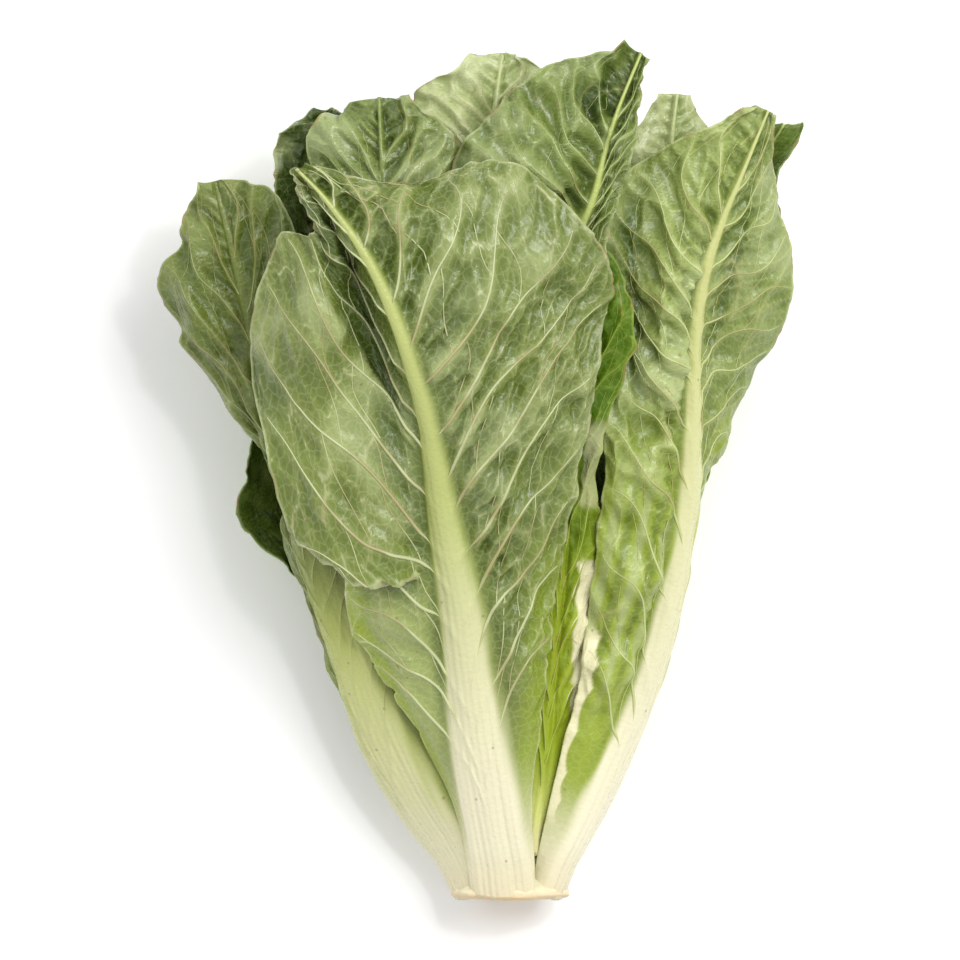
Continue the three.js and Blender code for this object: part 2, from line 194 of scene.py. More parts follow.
def ranged(value, *limits):
    """The value moved smoothly from between the first two limits to the last two, or to 0 to 1."""
    tree, inputs = value.id_data, enumerate((value, *limits))
    return node(tree, "ShaderNodeMapRange", inputs, interpolation_type="SMOOTHSTEP").outputs[0]


def noise(where, scale, detail):
    inputs = {"Vector": where, "Scale": scale, "Detail": detail}
    return node(where.id_data, "ShaderNodeTexNoise", inputs).outputs["Fac"]


def bumped(height, distance, **under):
    inputs = {"Height": height, "Distance": distance, **under}
    return node(height.id_data, "ShaderNodeBump", inputs).outputs["Normal"]


FRESH_FLESH = colour(240, 233, 208), colour(221, 214, 172)
DRIED_FLESH = colour(198, 160, 106), colour(226, 204, 160)
DRIED_ENDS = -0.1424, -0.1385  # metres along the head, where the brown starts to fade and ends


def stem_material():
    material = plain_material("stem_flesh", (0.8, 0.75, 0.6), 0.55)
    tree = material.node_tree
    place = node(tree, "ShaderNodeTexCoord").outputs["Object"]
    along = node(tree, "ShaderNodeSeparateXYZ", {0: place}).outputs["Y"]
    blotch = noise(place, 160, 6)
    fresh, dried = (mixed(blotch, *tones) for tones in (FRESH_FLESH, DRIED_FLESH))
    at_cut = ranged(along, *DRIED_ENDS, 1, 0)
    inputs = {
        "Base Color": mixed(at_cut, fresh, dried),
        "Normal": bumped(noise(place, 420, 5), 0.0006),
        "Subsurface Weight": 0.2,
        "Subsurface Radius": (0.004, 0.003, 0.0015),
    }
    wired(tree.nodes["Principled BSDF"], inputs)
    return material


CORE_PROFILE = [  # radius and place along the head, from the cut face in and up
    (0.01, -142.2), (6, -142.3), (12, -142.4), (16.5, -142.2), (18.6, -141.6), (19.4, -140.8),
    (18.6, -139.2), (16, -137), (13, -134.5), (11, -131), (9.6, -127), (8.2, -118.5),
    (4.5, -106), (0.01, -104),
]
CORE_RINGS, CORE_SIDES = 70, 96
core_line = spline([(r, y, 0) for r, y in CORE_PROFILE], np.linspace(0, 1, CORE_RINGS))
turn = np.linspace(0, 2 * np.pi, CORE_SIDES, endpoint=False)
knobs = 1 + 0.03 * np.sin(5 * turn + 1) + 0.02 * np.sin(11 * turn) + 0.012 * np.sin(23 * turn)
core_points = []
for r, y, _ in core_line:
    cx, cz = axis_at(max(y, BUTT_Y + 0.01))
    rough = 0.35 * crumple(turn * 6, np.full_like(turn, y), 5) * (r > 1)
    for a, q in zip(turn, np.minimum(abs(r) * knobs, BUTT_RADIUS) + rough):
        dished = 0.25 * np.sin(3 * a) * min(1, r / 15)
        core_points.append((cx + q * np.cos(a), y + dished, cz + q * np.sin(a)))
core_faces = []
for low in range(0, (CORE_RINGS - 1) * CORE_SIDES, CORE_SIDES):
    high = low + CORE_SIDES
    for j in range(CORE_SIDES):
        k = (j + 1) % CORE_SIDES
        core_faces.append((low + j, low + k, high + k, high + j))
core_faces.append(tuple(range(CORE_SIDES))[::-1])
core_faces.append(tuple((CORE_RINGS - 1) * CORE_SIDES + j for j in range(CORE_SIDES)))
core_points = np.maximum(core_points, [-999, BUTT_Y, TABLE_GAP])
stem = new_piece("stem_core_flesh", core_points, core_faces, stem_material())
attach(stem, "root")
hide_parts("stem_core")

# ---------------- leaf skin
# Leaf tissue: waxy and grey-green on the back, deeper green on the front, cream and fleshy in
# the rib. The masks for rib, vein, margin and face are painted onto each leaf as it is made,
# with masks for painted shade in its hollows and painted highlight on its swellings.


def network_group():
    """Height of the fine net of veins, from the leaf's own map in centimetres."""
    tree = bpy.data.node_groups.new("vein_net", "ShaderNodeTree")
    face = tree.interface.new_socket
    face("Map", in_out="INPUT", socket_type="NodeSocketVector")
    face("Cell", in_out="INPUT", socket_type="NodeSocketFloat")
    face("Net", in_out="OUTPUT", socket_type="NodeSocketFloat")
    given = node(tree, "NodeGroupInput").outputs
    warp = node(tree, "ShaderNodeTexNoise", {"Vector": given["Map"], "Scale": 2.5})
    inputs = {0: warp.outputs["Color"], 1: (0.35, 0.35, 0), 2: given["Map"]}
    bent = node(tree, "ShaderNodeVectorMath", inputs, operation="MULTIPLY_ADD").outputs[0]
    inputs = {"Vector": bent, "Scale": given["Cell"]}
    look = {"voronoi_dimensions": "2D", "feature": "DISTANCE_TO_EDGE"}
    away = node(tree, "ShaderNodeTexVoronoi", inputs, **look).outputs["Distance"]
    node(tree, "NodeGroupOutput", {"Net": ranged(away, 0.0, 0.14, 1, 0)})
    return tree


VEIN_NET = network_group()
NET_CELLS = 3.4  # fine cells to the centimetre
MASKS = "rib lane up edge hollow swell bloom net inside torn young".split()
OWN_TINTS = "back", "back_light", "bloom", "front", "rib_top", "rib_base", "vein"
SHARED_TINTS = {
    "young": (142, 161, 32),
    "stained_vein": (170, 138, 88),
    "foot": (216, 202, 164),
    "torn": (230, 224, 182),
    "browned_margin": (140, 116, 66),
    "brown_spot": (120, 98, 54),
}


def combined(operation, a, b):
    return node(a.id_data, "ShaderNodeMath", {0: a, 1: b}, operation=operation).outputs[0]


def times(a, b):
    return combined("MULTIPLY", a, b)


def layered(ground, *layers):
    """The ground colour under its layers, each given as how much it covers and its colour."""
    for share, tint in layers:
        ground = mixed(share, ground, tint)
    return ground


def blade_colour(tint, mask, where, pale, pale_from):
    """The blade between its veins, blotched and paler towards its base. Painted highlight lies
    on the tops of its swellings and painted shade in its dips and hollows; its broad swellings
    have wax bloom with a painted sheen.
    """
    up, swell = mask["up"], mask["swell"]
    patches = ranged(noise(where, 0.5, 5), 0.05, 0.85)
    speckle = noise(where, 9, 4)
    margin = ranged(mask["edge"], 0.1, 1.0, 0.6, 0)
    margin = times(margin, ranged(up, 0.2, 0.48, 1, 0))
    young = combined("MAXIMUM", margin, times(mask["young"], 0.5))
    return layered(
        mixed(patches, tint["back"], tint["back_light"]),
        (mask["inside"], tint["front"]),
        (ranged(speckle, 0.4, 0.7, 0.0, 0.35), tint["back_light"]),
        (ranged(speckle, 0.3, 0.5, 0.3, 0.0), tint["front"]),
        # painted highlight on the tops of small swellings, painted shade in the dips between them
        (ranged(swell, 0.0, 1.0, 0, 0.35), tint["back_light"]),
        (ranged(swell, -1.0, 0.0, 0.3, 0), tint["front"]),
        (ranged(up, pale_from, pale_from + 0.4, pale, 0), tint["rib_top"]),
        (young, tint["young"]),
        # wax bloom with a painted sheen
        (times(mask["bloom"], 0.4), tint["bloom"]),
        # painted shade: a deeper green in hollows, creases and under the lobe
        (times(mask["hollow"], 0.92), tint["front"]),
    )


def veined_colour(tint, mask, where, blade):
    """Side veins and their cross veins are crisp pale lines, each in a softer pale band. Some
    have turned pinkish brown."""
    off_rib = ranged(mask["rib"], 0.0, 0.5, 1, 0)
    beside_rib = ranged(mask["rib"], 0.6, 1.0, 1, 0)
    inputs = {"Map": where, "Cell": NET_CELLS}
    fine = node(where.id_data, "ShaderNodeGroup", inputs, node_tree=VEIN_NET).outputs["Net"]
    blade = mixed(times(times(fine, off_rib), 0.12), blade, tint["vein"])
    place = node(where.id_data, "ShaderNodeTexCoord").outputs["Object"]
    stained = ranged(noise(place, 40, 2), 0.45, 0.6, 0, 0.7)
    stained = times(stained, ranged(mask["up"], 0.15, 0.3))
    crisp = mixed(stained, tint["vein"], tint["stained_vein"])
    for label, thin, soft, share, near in (
        ("net", 0.12, 0.4, 0.33, off_rib),
        ("lane", 0.15, 0.7, 0.6, beside_rib),
    ):
        band = times(ranged(mask[label], 0.0, soft, share * 0.3, 0), near)
        middle = times(ranged(mask[label], thin * 0.3, thin, share, 0), near)
        blade = layered(blade, (band, tint["vein"]), (middle, crisp))
    return blade


def skin_colour(tint, mask, where, blade, cream, turns):
    """The rib turns from cream at its foot to yellow-green, first along its sides. Rims and
    spots are browned."""
    rib, up, edge = mask["rib"], mask["up"], mask["edge"]
    turned = combined("ADD", up, times(rib, -0.25))
    fleshy = mixed(ranged(turned, *turns, 1, 0), tint["rib_top"], tint["rib_base"])
    spoilt = ranged(noise(where, 0.9, 2), 0.5, 0.6)
    browned = times(ranged(edge, 0.0, 0.16, 1, 0), spoilt)
    browned = times(browned, ranged(up, 0.3, 0.8, 0.3, 0.85))
    inputs = {"Vector": where, "Scale": 0.5}
    specks = node(where.id_data, "ShaderNodeTexVoronoi", inputs, voronoi_dimensions="2D")
    return layered(
        blade,
        (rib, fleshy),
        (ranged(up, 0.0, cream, 0.9, 0), tint["rib_base"]),
        (ranged(up, 0.0, 0.06, 0.6, 0), tint["foot"]),
        (mask["torn"], tint["torn"]),
        (ranged(edge, 0.0, 0.16, 0.45, 0), tint["vein"]),
        (browned, tint["browned_margin"]),
        (ranged(specks.outputs["Distance"], 0.012, 0.035, 0.5, 0), tint["brown_spot"]),
    )


def skin_relief(mask, where):
    """A fine grain, the net of veins, and strands that run up the rib."""
    grain = bumped(noise(where, 6, 4), 0.0003)
    lines = ranged(mask["net"], 0.0, 0.3, 1, 0)
    netted = bumped(lines, 0.00015, Normal=grain)
    tree, inputs = where.id_data, {"Vector": where, "Scale": (1, 0.12, 1)}
    drawn_out = node(tree, "ShaderNodeMapping", inputs).outputs[0]
    inputs = {"Vector": drawn_out, "Scale": 1.3, "Distortion": 1.2, "Detail": 2}
    strands = node(tree, "ShaderNodeTexWave", inputs, bands_direction="X").outputs["Fac"]
    deep = ranged(mask["up"], 0.0, 0.7, 1, 0.2)
    grooves = times(strands, times(mask["rib"], deep))
    return bumped(grooves, 0.0002, Normal=netted)


def leaf_material(
    name, *tints, pale=0.45, pale_from=0.0, cream=0.17, turns=(-0.2, 0.28), gloss=0.32, wax=0.5
):
    """Leaf skin in its own tints. The blade fades by pale from pale_from down, the rib's cream
    spreads over the base up to cream, and turns is where the rib goes from cream to green."""
    material = plain_material(name, (0.3, 0.4, 0.15), gloss)
    tree = material.node_tree
    own = dict(zip(OWN_TINTS, tints))
    tint = {label: colour(*rgb) for label, rgb in (SHARED_TINTS | own).items()}
    painted = {label: node(tree, "ShaderNodeAttribute", attribute_name=label) for label in MASKS}
    mask = {label: made.outputs["Fac"] for label, made in painted.items()}
    where = node(tree, "ShaderNodeUVMap", uv_map="leaf_map").outputs["UV"]
    blade = blade_colour(tint, mask, where, pale, pale_from)
    blade = veined_colour(tint, mask, where, blade)
    shine = noise(where, 5, 4)
    inputs = {
        "Base Color": skin_colour(tint, mask, where, blade, cream, turns),
        "Roughness": ranged(shine, 0.3, 0.7, gloss - 0.09, gloss + 0.12),
        "Specular IOR Level": wax,
        "Normal": skin_relief(mask, where),
    }
    wired(tree.nodes["Principled BSDF"], inputs)
    return material


OUTER_SKIN = leaf_material(
    "outer_leaf_skin", (79, 95, 21), (121, 135, 61), (184, 194, 136), (62, 82, 16),
    (174, 182, 108), (229, 223, 191), (214, 219, 170),
)
LEFT_SKIN = leaf_material(
    "left_leaf_skin", (72, 86, 18), (104, 118, 44), (140, 153, 86), (52, 72, 12),
    (174, 182, 96), (218, 214, 178), (178, 190, 126),
    cream=0.14, turns=(-0.3, 0.16),
)
RIGHT_SKIN = leaf_material(
    "right_leaf_skin", (100, 117, 34), (149, 164, 90), (192, 202, 148), (60, 82, 14),
    (191, 194, 126), (233, 227, 196), (206, 214, 150),
    cream=0.13, turns=(-0.2, 0.4),
)
UPPER_SKIN = leaf_material(
    "upper_leaf_skin", (80, 98, 26), (121, 137, 68), (176, 188, 134), (44, 64, 10),
    (170, 182, 100), (244, 238, 208), (186, 198, 136),
    gloss=0.28,
)
INNER_SKIN = leaf_material(
    "inner_leaf_skin", (150, 162, 100), (184, 192, 140), (198, 206, 160), (112, 132, 56),
    (204, 212, 128), (246, 241, 212), (212, 218, 166),
)
SLOT_SKIN = leaf_material(
    "slot_leaf_skin", (62, 94, 6), (84, 112, 8), (64, 96, 4), (64, 96, 4),
    (172, 188, 48), (214, 218, 130), (166, 184, 84),
    pale=0.85, pale_from=0.25, gloss=0.42, wax=0.25,
)
DARK_SKIN = leaf_material(
    "dark_leaf_skin", (122, 146, 50), (146, 166, 80), (140, 158, 84), (70, 94, 20),
    (180, 192, 108), (240, 235, 206), (150, 166, 98),
)
HEART_SKIN = leaf_material(
    "heart_leaf_skin", (184, 198, 100), (208, 216, 134), (214, 220, 160), (170, 190, 76),
    (224, 228, 156), (246, 242, 214), (226, 230, 168),
)

# ---------------- lateral veins
# Side veins, of the same pale tissue as the rib, leave it in turn to left and right and sweep
# forward to the margin. They stand out of the leaf's back as tapering cords, and finer ones
# cross between them, so all are laid along its surface.

VEIN_FIRST = 0.1  # up the leaf, where the lowest leaves the rib
VEIN_STEP = 0.03
VEIN_SCATTER, SCATTER_TURN = 0.3, 12.9898
VEIN_RISE = 0.24  # how far forward a vein has swept when it meets the margin
VEIN_BEND = 0.07
VEIN_WANDER, WANDER_TURN, WANDER_SHIFT = 0.009, 9.0, 2.3
VEIN_ROOT, VEIN_END = 0.03, 0.94  # across the half leaf
VEIN_LIMIT = 0.985  # no vein goes further up the leaf
VEIN_SLANT = 0.8  # the distance to a vein, over the height to it
SIDE_TAPER, UPPER_TAPER, SUNK_IN_RIB = 0.78, 0.6, 0.95
SIDE_CORD, CROSS_CORD = (34, 5), (9, 4)  # points along a cord, and its sides
CROSS_ROOT, CROSS_SPACING, CROSS_REACH = 0.28, 0.3, 0.11
CROSS_SCATTER, CROSS_TURN = 0.09, 7.7
CROSS_BEND, CROSS_BEND_TURN = 0.024, 5.0
CROSS_THIN, CROSS_TAPER = 0.32, 0.2


def vein_start(k, seed):
    """Where up the rib side vein k leaves it. Even ones go left, odd ones right."""
    return VEIN_FIRST + VEIN_STEP * (k + VEIN_SCATTER * np.sin(SCATTER_TURN * (k + seed)))


def vein_tree():
    tree = bpy.data.node_groups.new("lateral_veins", "GeometryNodeTree")
    face = tree.interface.new_socket
    inputs = {"Leaf": "Geometry", "Count": "Int", "Seed": "Float", "Radius": "Float"}
    for label, kind in {**inputs, "Rib": "Float", "Skin": "Material"}.items():
        face(label, in_out="INPUT", socket_type="NodeSocket" + kind)
    face("Leaf with veins", in_out="OUTPUT", socket_type="NodeSocketGeometry")
    given = node(tree, "NodeGroupInput").outputs

    def step(kind, **inputs):
        named = {label.replace("_", " "): value for label, value in inputs.items()}
        return node(tree, "GeometryNode" + kind, named).outputs[0]

    def maths(operation, *values):
        return node(tree, "ShaderNodeMath", enumerate(values), operation=operation).outputs[0]

    def scaled(value, by, plus=0.0):
        return maths("MULTIPLY_ADD", value, by, plus)

    def painted(label, kind="FLOAT"):
        inputs = {"Name": label}
        return node(tree, "GeometryNodeInputNamedAttribute", inputs, data_type=kind).outputs[0]

    def stored(shape, label, value, domain="POINT"):
        inputs = {"Geometry": shape, "Name": label, "Value": value}
        kind = {"data_type": "FLOAT", "domain": domain}
        return node(tree, "GeometryNodeStoreNamedAttribute", inputs, **kind).outputs[0]

    def on_leaf(value, spot, kind="FLOAT"):
        unit_map = painted("leaf_unit", "FLOAT_VECTOR")
        inputs = {"Mesh": given["Leaf"], "Value": value, "UV Map": unit_map, "Sample UV": spot}
        return node(tree, "GeometryNodeSampleUVSurface", inputs, data_type=kind).outputs[0]

    def cords(count, points, sides, course):
        """Straight cords, told apart by number, laid on the leaf along the course of each."""
        line = step("ResampleCurve", Curve=step("CurvePrimitiveLine"), Count=points)
        placed = step("InstanceOnPoints", Points=step("MeshLine", Count=count), Instance=line)
        numbered = stored(placed, "number", step("InputIndex"), "INSTANCE")
        loose = step("RealizeInstances", Geometry=numbered)
        across, up, thin = course(painted("number"), step("SplineParameter"))
        spot = node(tree, "ShaderNodeCombineXYZ", {"X": across, "Y": up}).outputs[0]
        place = on_leaf(step("InputPosition"), spot, "FLOAT_VECTOR")
        rib, torn = (on_leaf(painted(label), spot) for label in ("rib", "torn"))
        thin = maths("MULTIPLY", thin, scaled(rib, -SUNK_IN_RIB, 1.0))
        radius = maths("MULTIPLY", thin, given["Radius"])
        path = step("SetPosition", Geometry=loose, Position=place)
        path = step("SetCurveRadius", Curve=path, Radius=radius)
        for label, value in (("up", up), ("rib", rib), ("torn", torn)):
            path = stored(path, label, value)
        ring = step("CurvePrimitiveCircle", Resolution=sides, Radius=1.0)
        tube = step("CurveToMesh", Curve=path, Profile_Curve=ring, Scale=radius, Fill_Caps=True)
        for label, value in (("lane", 0.0), ("net", 1.0), ("edge", 1.0)):
            tube = stored(tube, label, value)
        return step("SetShadeSmooth", Geometry=tube)

    def start_of(k):
        scatter = maths("SINE", scaled(maths("ADD", k, given["Seed"]), SCATTER_TURN))
        return scaled(scaled(scatter, VEIN_SCATTER, k), VEIN_STEP, VEIN_FIRST)

    def height_at(k, out):
        forward = scaled(out, scaled(out, -VEIN_BEND, VEIN_RISE))
        bends = maths("SINE", scaled(out, WANDER_TURN, scaled(k, WANDER_SHIFT)))
        return maths("ADD", start_of(k), scaled(bends, VEIN_WANDER, forward))

    def across_at(k, out):
        side = scaled(maths("MODULO", k, 2.0), 2.0, -1.0)
        return scaled(scaled(side, out), 0.5, 0.5)

    def side_vein(k, t):
        """Thick beside the rib, fine at the margin, and finer on the upper leaf."""
        out = scaled(t, maths("SUBTRACT", VEIN_END, given["Rib"]), given["Rib"])
        thin = scaled(scaled(t, -SIDE_TAPER, 1.0), scaled(start_of(k), -UPPER_TAPER, 1.0))
        return across_at(k, out), maths("MINIMUM", height_at(k, out), VEIN_LIMIT), thin

    def cross_vein(n, t):
        """A finer one that runs from a side vein to the next on its side, two to each."""
        k = maths("FLOOR", scaled(n, 0.5))
        root = scaled(maths("SINE", scaled(n, CROSS_TURN)), CROSS_SCATTER, CROSS_ROOT)
        root = scaled(maths("MODULO", n, 2.0), CROSS_SPACING, root)
        bend = scaled(maths("SINE", scaled(t, CROSS_BEND_TURN, n)), CROSS_BEND)
        out = maths("ADD", scaled(t, CROSS_REACH, root), bend)
        low = height_at(k, root)
        high = height_at(maths("ADD", k, 2.0), maths("ADD", root, CROSS_REACH))
        up = scaled(maths("SUBTRACT", high, low), t, low)
        thin = scaled(root, -CROSS_TAPER, CROSS_THIN)
        return across_at(k, out), maths("MINIMUM", up, VEIN_LIMIT), thin

    joined = node(tree, "GeometryNodeJoinGeometry")
    side_cords = cords(given["Count"], *SIDE_CORD, side_vein)
    cross_cords = cords(maths("MULTIPLY", given["Count"], 2.0), *CROSS_CORD, cross_vein)
    for shape in (side_cords, cross_cords, given["Leaf"]):
        tree.links.new(shape, joined.inputs["Geometry"])
    whole = step("RealizeInstances", Geometry=joined.outputs[0])
    node(tree, "NodeGroupOutput", {0: step("SetMaterial", Geometry=whole, Material=given["Skin"])})
    return tree


VEINS = vein_tree()


def with_veins(leaf, **inputs):
    change = leaf.modifiers.new("veins", "NODES")
    change.node_group = VEINS
    for item in VEINS.interface.items_tree:
        if item.name in inputs:
            change[item.identifier] = inputs[item.name]
    grown = leaf.evaluated_get(bpy.context.evaluated_depsgraph_get())
    plain = bpy.data.meshes.new_from_object(grown)
    leaf.modifiers.clear()
    # the cords on the underside are pressed flat by the table
    places = np.empty(3 * len(plain.vertices))
    plain.vertices.foreach_get("co", places)
    places[2::3] = np.maximum(places[2::3], 0)
    plain.vertices.foreach_set("co", places)
    leaf.data = plain
    leaf.data.name = leaf.name


# ---------------- leaf blades
# A leaf is a thin blade stretched between its rib and its two margins. It is swollen between the
# veins, ruffled towards the margin and finely notched along it. The rib stands out of its back.

RIB_ROUND = 0.05
BLADE_THICK, MARGIN_THINNING = 0.9, 0.45
FOOT_DROP = 2.6  # how far the blade's foot runs down past its lines, onto the core
COLUMN_CROWDING = 0.06  # columns of faces stand closer beside the rib and at the margins
NOTCH_LENGTH, TOOTH_LENGTH, SINUS_LENGTH = 13, 2.6, 26
SINUS_DEPTH = 2.2  # over the depth of the other notches
SWELL_LENGTH, PLEAT_LENGTH, GROOVE_WIDTH, WARP_LENGTH = 17, 4.6, 3.1, 9
LARGE_CELL, SMALL_CELL, WRINKLE = (13, 10), (5, 4.5), (2.6, 2.2)
CRINKLED_PATCH = 30
SWELL_HEIGHT, PILLOW_HEIGHT, PLEAT_HEIGHT = 1.8, 2.0, 0.6
WRINKLE_HEIGHT, SMALL_CELL_HEIGHT = 0.45, 0.5
GROOVE_DEPTH, SEAM_DEPTH = 0.07, 0.9
RIB_EDGE, SEAM_PLACE, SEAM_WIDTH = 1.15, 1.2, 0.45  # in half ribs, from the middle of the rib
RIDGE_ON_BACK, RIDGE_ON_FRONT = 0.5, 0.25
RIDGE_WIDTH, RIDGE_NARROWING = 2, 0.9  # beside the rib, and by how much less at the margin
LANE_WIDTH, LANE_NARROWING = 5.2, 2.8
HOLLOW_WINDOW, SWELL_WINDOW = 16, 5  # how many cells round it a place is compared with
EDGE_BAND, DEEP_HOLLOW, FULL_SWELL = 8, 2.2, 0.45  # where these masks are full


def ruffle(u, v, height, count, phase):
    reach = np.abs(u) ** 2.5 * smooth(v, 0.12, 0.45)
    turn = 2 * np.pi * count * v + phase + np.where(u < 0, 1.7, 0)
    finer = 0.5 * np.sin(1.63 * turn + 1)
    return height * reach * (np.sin(turn) + finer + 0.3 * np.sin(2.71 * turn + 2))


def unit(vectors):
    return vectors / np.linalg.norm(vectors, axis=-1, keepdims=True)


def stretched(lines, bow, waves, folds=()):
    """The surface through rows of left margin, rib and right margin, from the base up. There u
    runs from the left margin at -1 over the rib to the right margin at 1, and v up the leaf.
    Each fold has its middle's u and v, a width, a length, a height and a lean."""
    lines = np.reshape(lines, (-1, 3, 3))

    def surface(u, v):
        left, rib, right = (spline(lines[:, k], v) for k in range(3))
        ahead, behind = (spline(lines[:, 1], np.clip(v + d, 0, 1)) for d in (0.002, -0.002))
        s = np.sqrt(u**2 + RIB_ROUND**2)
        swell = np.where(u < 0, *bow) * np.sin(np.pi * np.minimum(1, 0.12 + 0.9 * v))
        lift = 4 * swell * s * (1 - s)
        for at_u, at_v, width, length, height, lean in folds:
            bump = height * hump(u, at_u + lean * (v - at_v), width)
            lift = lift + bump * hump(v, at_v, length)
        lift = lift + ruffle(u, v, *waves)
        leftward = (left - rib) * ((s - u) / 2)[..., None]
        sides = leftward + (right - rib) * ((s + u) / 2)[..., None]
        return rib + sides + unit(np.cross(right - left, ahead - behind)) * lift[..., None]

    return surface


def cells(x, y, seed):
    """How far into its cell of a net each place lies: 0 on the net, about 1 at a cell's middle."""
    rng = np.random.default_rng(seed)
    dots = rng.random((RANDOM_CELLS, RANDOM_CELLS, 2)) * 0.8 + 0.1
    i, j = np.floor(x).astype(int), np.floor(y).astype(int)
    near = np.full(x.shape, 9.0)
    second = near.copy()
    for a in (-1, 0, 1):
        for b in (-1, 0, 1):
            dot = dots[(i + a) % RANDOM_CELLS, (j + b) % RANDOM_CELLS]
            d = np.hypot(i + a + dot[..., 0] - x, j + b + dot[..., 1] - y)
            second = np.minimum(second, np.maximum(near, d))
            near = np.minimum(near, d)
    return np.clip(1.6 * (second - near), 0, 1)


def softened(grid, half):
    """The grid of points averaged over a window that reaches half cells each way."""
    for axis in (0, 1):
        beyond = [(half + 1, half) if a == axis else (0, 0) for a in range(3)]
        total = np.cumsum(np.pad(grid, beyond, mode="reflect", reflect_type="odd"), axis=axis)
        first = np.arange(grid.shape[axis])
        last = first + 2 * half + 1
        grid = (np.take(total, last, axis) - np.take(total, first, axis)) / (2 * half + 1)
    return grid


def measured(points):
    """Millimetres across each row from its left end, and up the rib."""
    steps = np.linalg.norm(np.diff(points, axis=1), axis=2)
    rise = np.linalg.norm(np.diff(points[:, points.shape[1] // 2], axis=0), axis=1)
    far = np.pad(np.cumsum(steps, axis=1), ((0, 0), (1, 0)))
    return far, np.pad(np.cumsum(rise), (1, 0))[:, None] + 0 * far


def notched(u, v, far, length, seed, notch, bites):
    """Each u, once the margin is cut into teeth and notches and has its bites."""
    middle = far[:, [u.shape[1] // 2]]
    width = np.where(u < 0, middle, far[:, -1:] - middle) + 0.01
    sides = np.where(u < 0, 0, 31)
    fine = 0.25 * mottle(length / TOOTH_LENGTH, sides + 0.5, seed + 7)
    teeth = notch * (crumple(length / NOTCH_LENGTH, sides + 0.5, seed) + fine)
    sinus = mottle(length / SINUS_LENGTH, sides + 9.5, seed + 3)
    teeth = teeth - notch * SINUS_DEPTH * smooth(sinus, 0.45, 0.9)
    for side, at, long, depth in bites:
        teeth = teeth - (side * u > 0) * depth * hump(length, at * length.max(), long)
    cut = smooth(np.abs(u), 0.6, 1) * teeth * smooth(v, 0.1, 0.25) / np.maximum(width, 6)
    return u * (1 + cut)


def seated(points, s, half_rib):
    """The points and the way out at each. The rib sits on a straight seat across the fold of
    the blade, and grows out one way."""
    out = np.cross(np.gradient(points, axis=1), np.gradient(points, axis=0))
    out = unit(softened(out / (np.linalg.norm(out, axis=-1, keepdims=True) + 1e-12), 3))
    reach = np.abs(s)
    columns = np.arange(s.shape[1])
    seat = points.copy()
    for row, half in enumerate(half_rib):
        ends = np.interp([-0.9 * half[0], 0.9 * half[-1]], s[row], columns)
        ends_at = np.interp(ends, columns, s[row])
        for axis in range(3):
            at_ends = np.interp(ends, columns, points[row, :, axis])
            seat[row, :, axis] = np.interp(s[row], ends_at, at_ends)
    on_seat = (1 - smooth(reach / half_rib, 0.4, 0.9))[..., None]
    points = points * (1 - on_seat) + seat * on_seat
    near = (reach < half_rib)[..., None]
    common = np.sum(out * near, axis=1, keepdims=True) / np.sum(near, axis=1, keepdims=True)
    on_rib = (1 - smooth(reach / half_rib, 0.6, 1.8))[..., None]
    return points, unit(out * (1 - on_rib) + common * on_rib)


def vein_lanes(u, v, length, seed, veins):
    """The distance to the nearest side vein of its half, and the ridge along that vein."""
    share = np.abs(u)
    straight = v - share * (VEIN_RISE - VEIN_BEND * share)
    width = RIDGE_WIDTH - RIDGE_NARROWING * share
    ridge, lane = np.zeros_like(u), np.full_like(u, 99.0)
    for k in range(veins):
        swept = straight - VEIN_WANDER * np.sin(WANDER_TURN * share + WANDER_SHIFT * k)
        here = (swept - vein_start(k, seed)) * length.max() * VEIN_SLANT
        ours = (u > 0) if k % 2 else (u < 0)
        ridge = np.maximum(ridge, ours * np.exp(-((here / width) ** 2)))
        lane = np.where(ours, np.minimum(lane, np.abs(here)), lane)
    return lane, ridge * smooth(share, 0.0, 0.1) * (1 - 0.55 * share)


def quilted(u, s, length, lane, seed, quilt, veins):
    """The swellings between side veins, the cells in those and small ones in these. Gives the
    whole, then the broad swellings and the large cells alone."""
    share, reach = np.abs(u), np.abs(s)
    warp = [2.5 * mottle(s / WARP_LENGTH, length / WARP_LENGTH, seed + k) for k in (11, 12, 25)]
    wx, wy = s + warp[0], length - 0.75 * reach + warp[1]
    broad = crumple(s / SWELL_LENGTH, length / SWELL_LENGTH, seed + 20)
    large = cells(wx / LARGE_CELL[0] + 3, wy / LARGE_CELL[1], seed + 21)
    small = cells(wx / SMALL_CELL[0] + 3, wy / SMALL_CELL[1], seed + 22)
    wrinkles = mottle(s / WRINKLE[0], length / WRINKLE[1], seed + 23)
    patches = mottle(s / CRINKLED_PATCH, length / CRINKLED_PATCH, seed + 24)
    crinkled = smooth(patches + 0.3 * np.sign(u), -0.2, 0.5)
    pleats = np.sin(2 * np.pi * (length - 0.6 * reach) / PLEAT_LENGTH + warp[2])
    pillow = (smooth(lane, 0, 6) - 0.5) * (1 - 0.65 * share) if veins else 0
    crinkles = crinkled * (WRINKLE_HEIGHT * wrinkles - SMALL_CELL_HEIGHT * (small - 0.5))
    fine = quilt * (0.6 - smooth(large, 0, 0.7)) + crinkles
    fine = fine + PLEAT_HEIGHT * pleats * (1 - smooth(share, 0.15, 0.7))
    swollen = SWELL_HEIGHT * broad - PILLOW_HEIGHT * pillow
    return swollen + fine * smooth(lane, 0.3, 3), broad, large


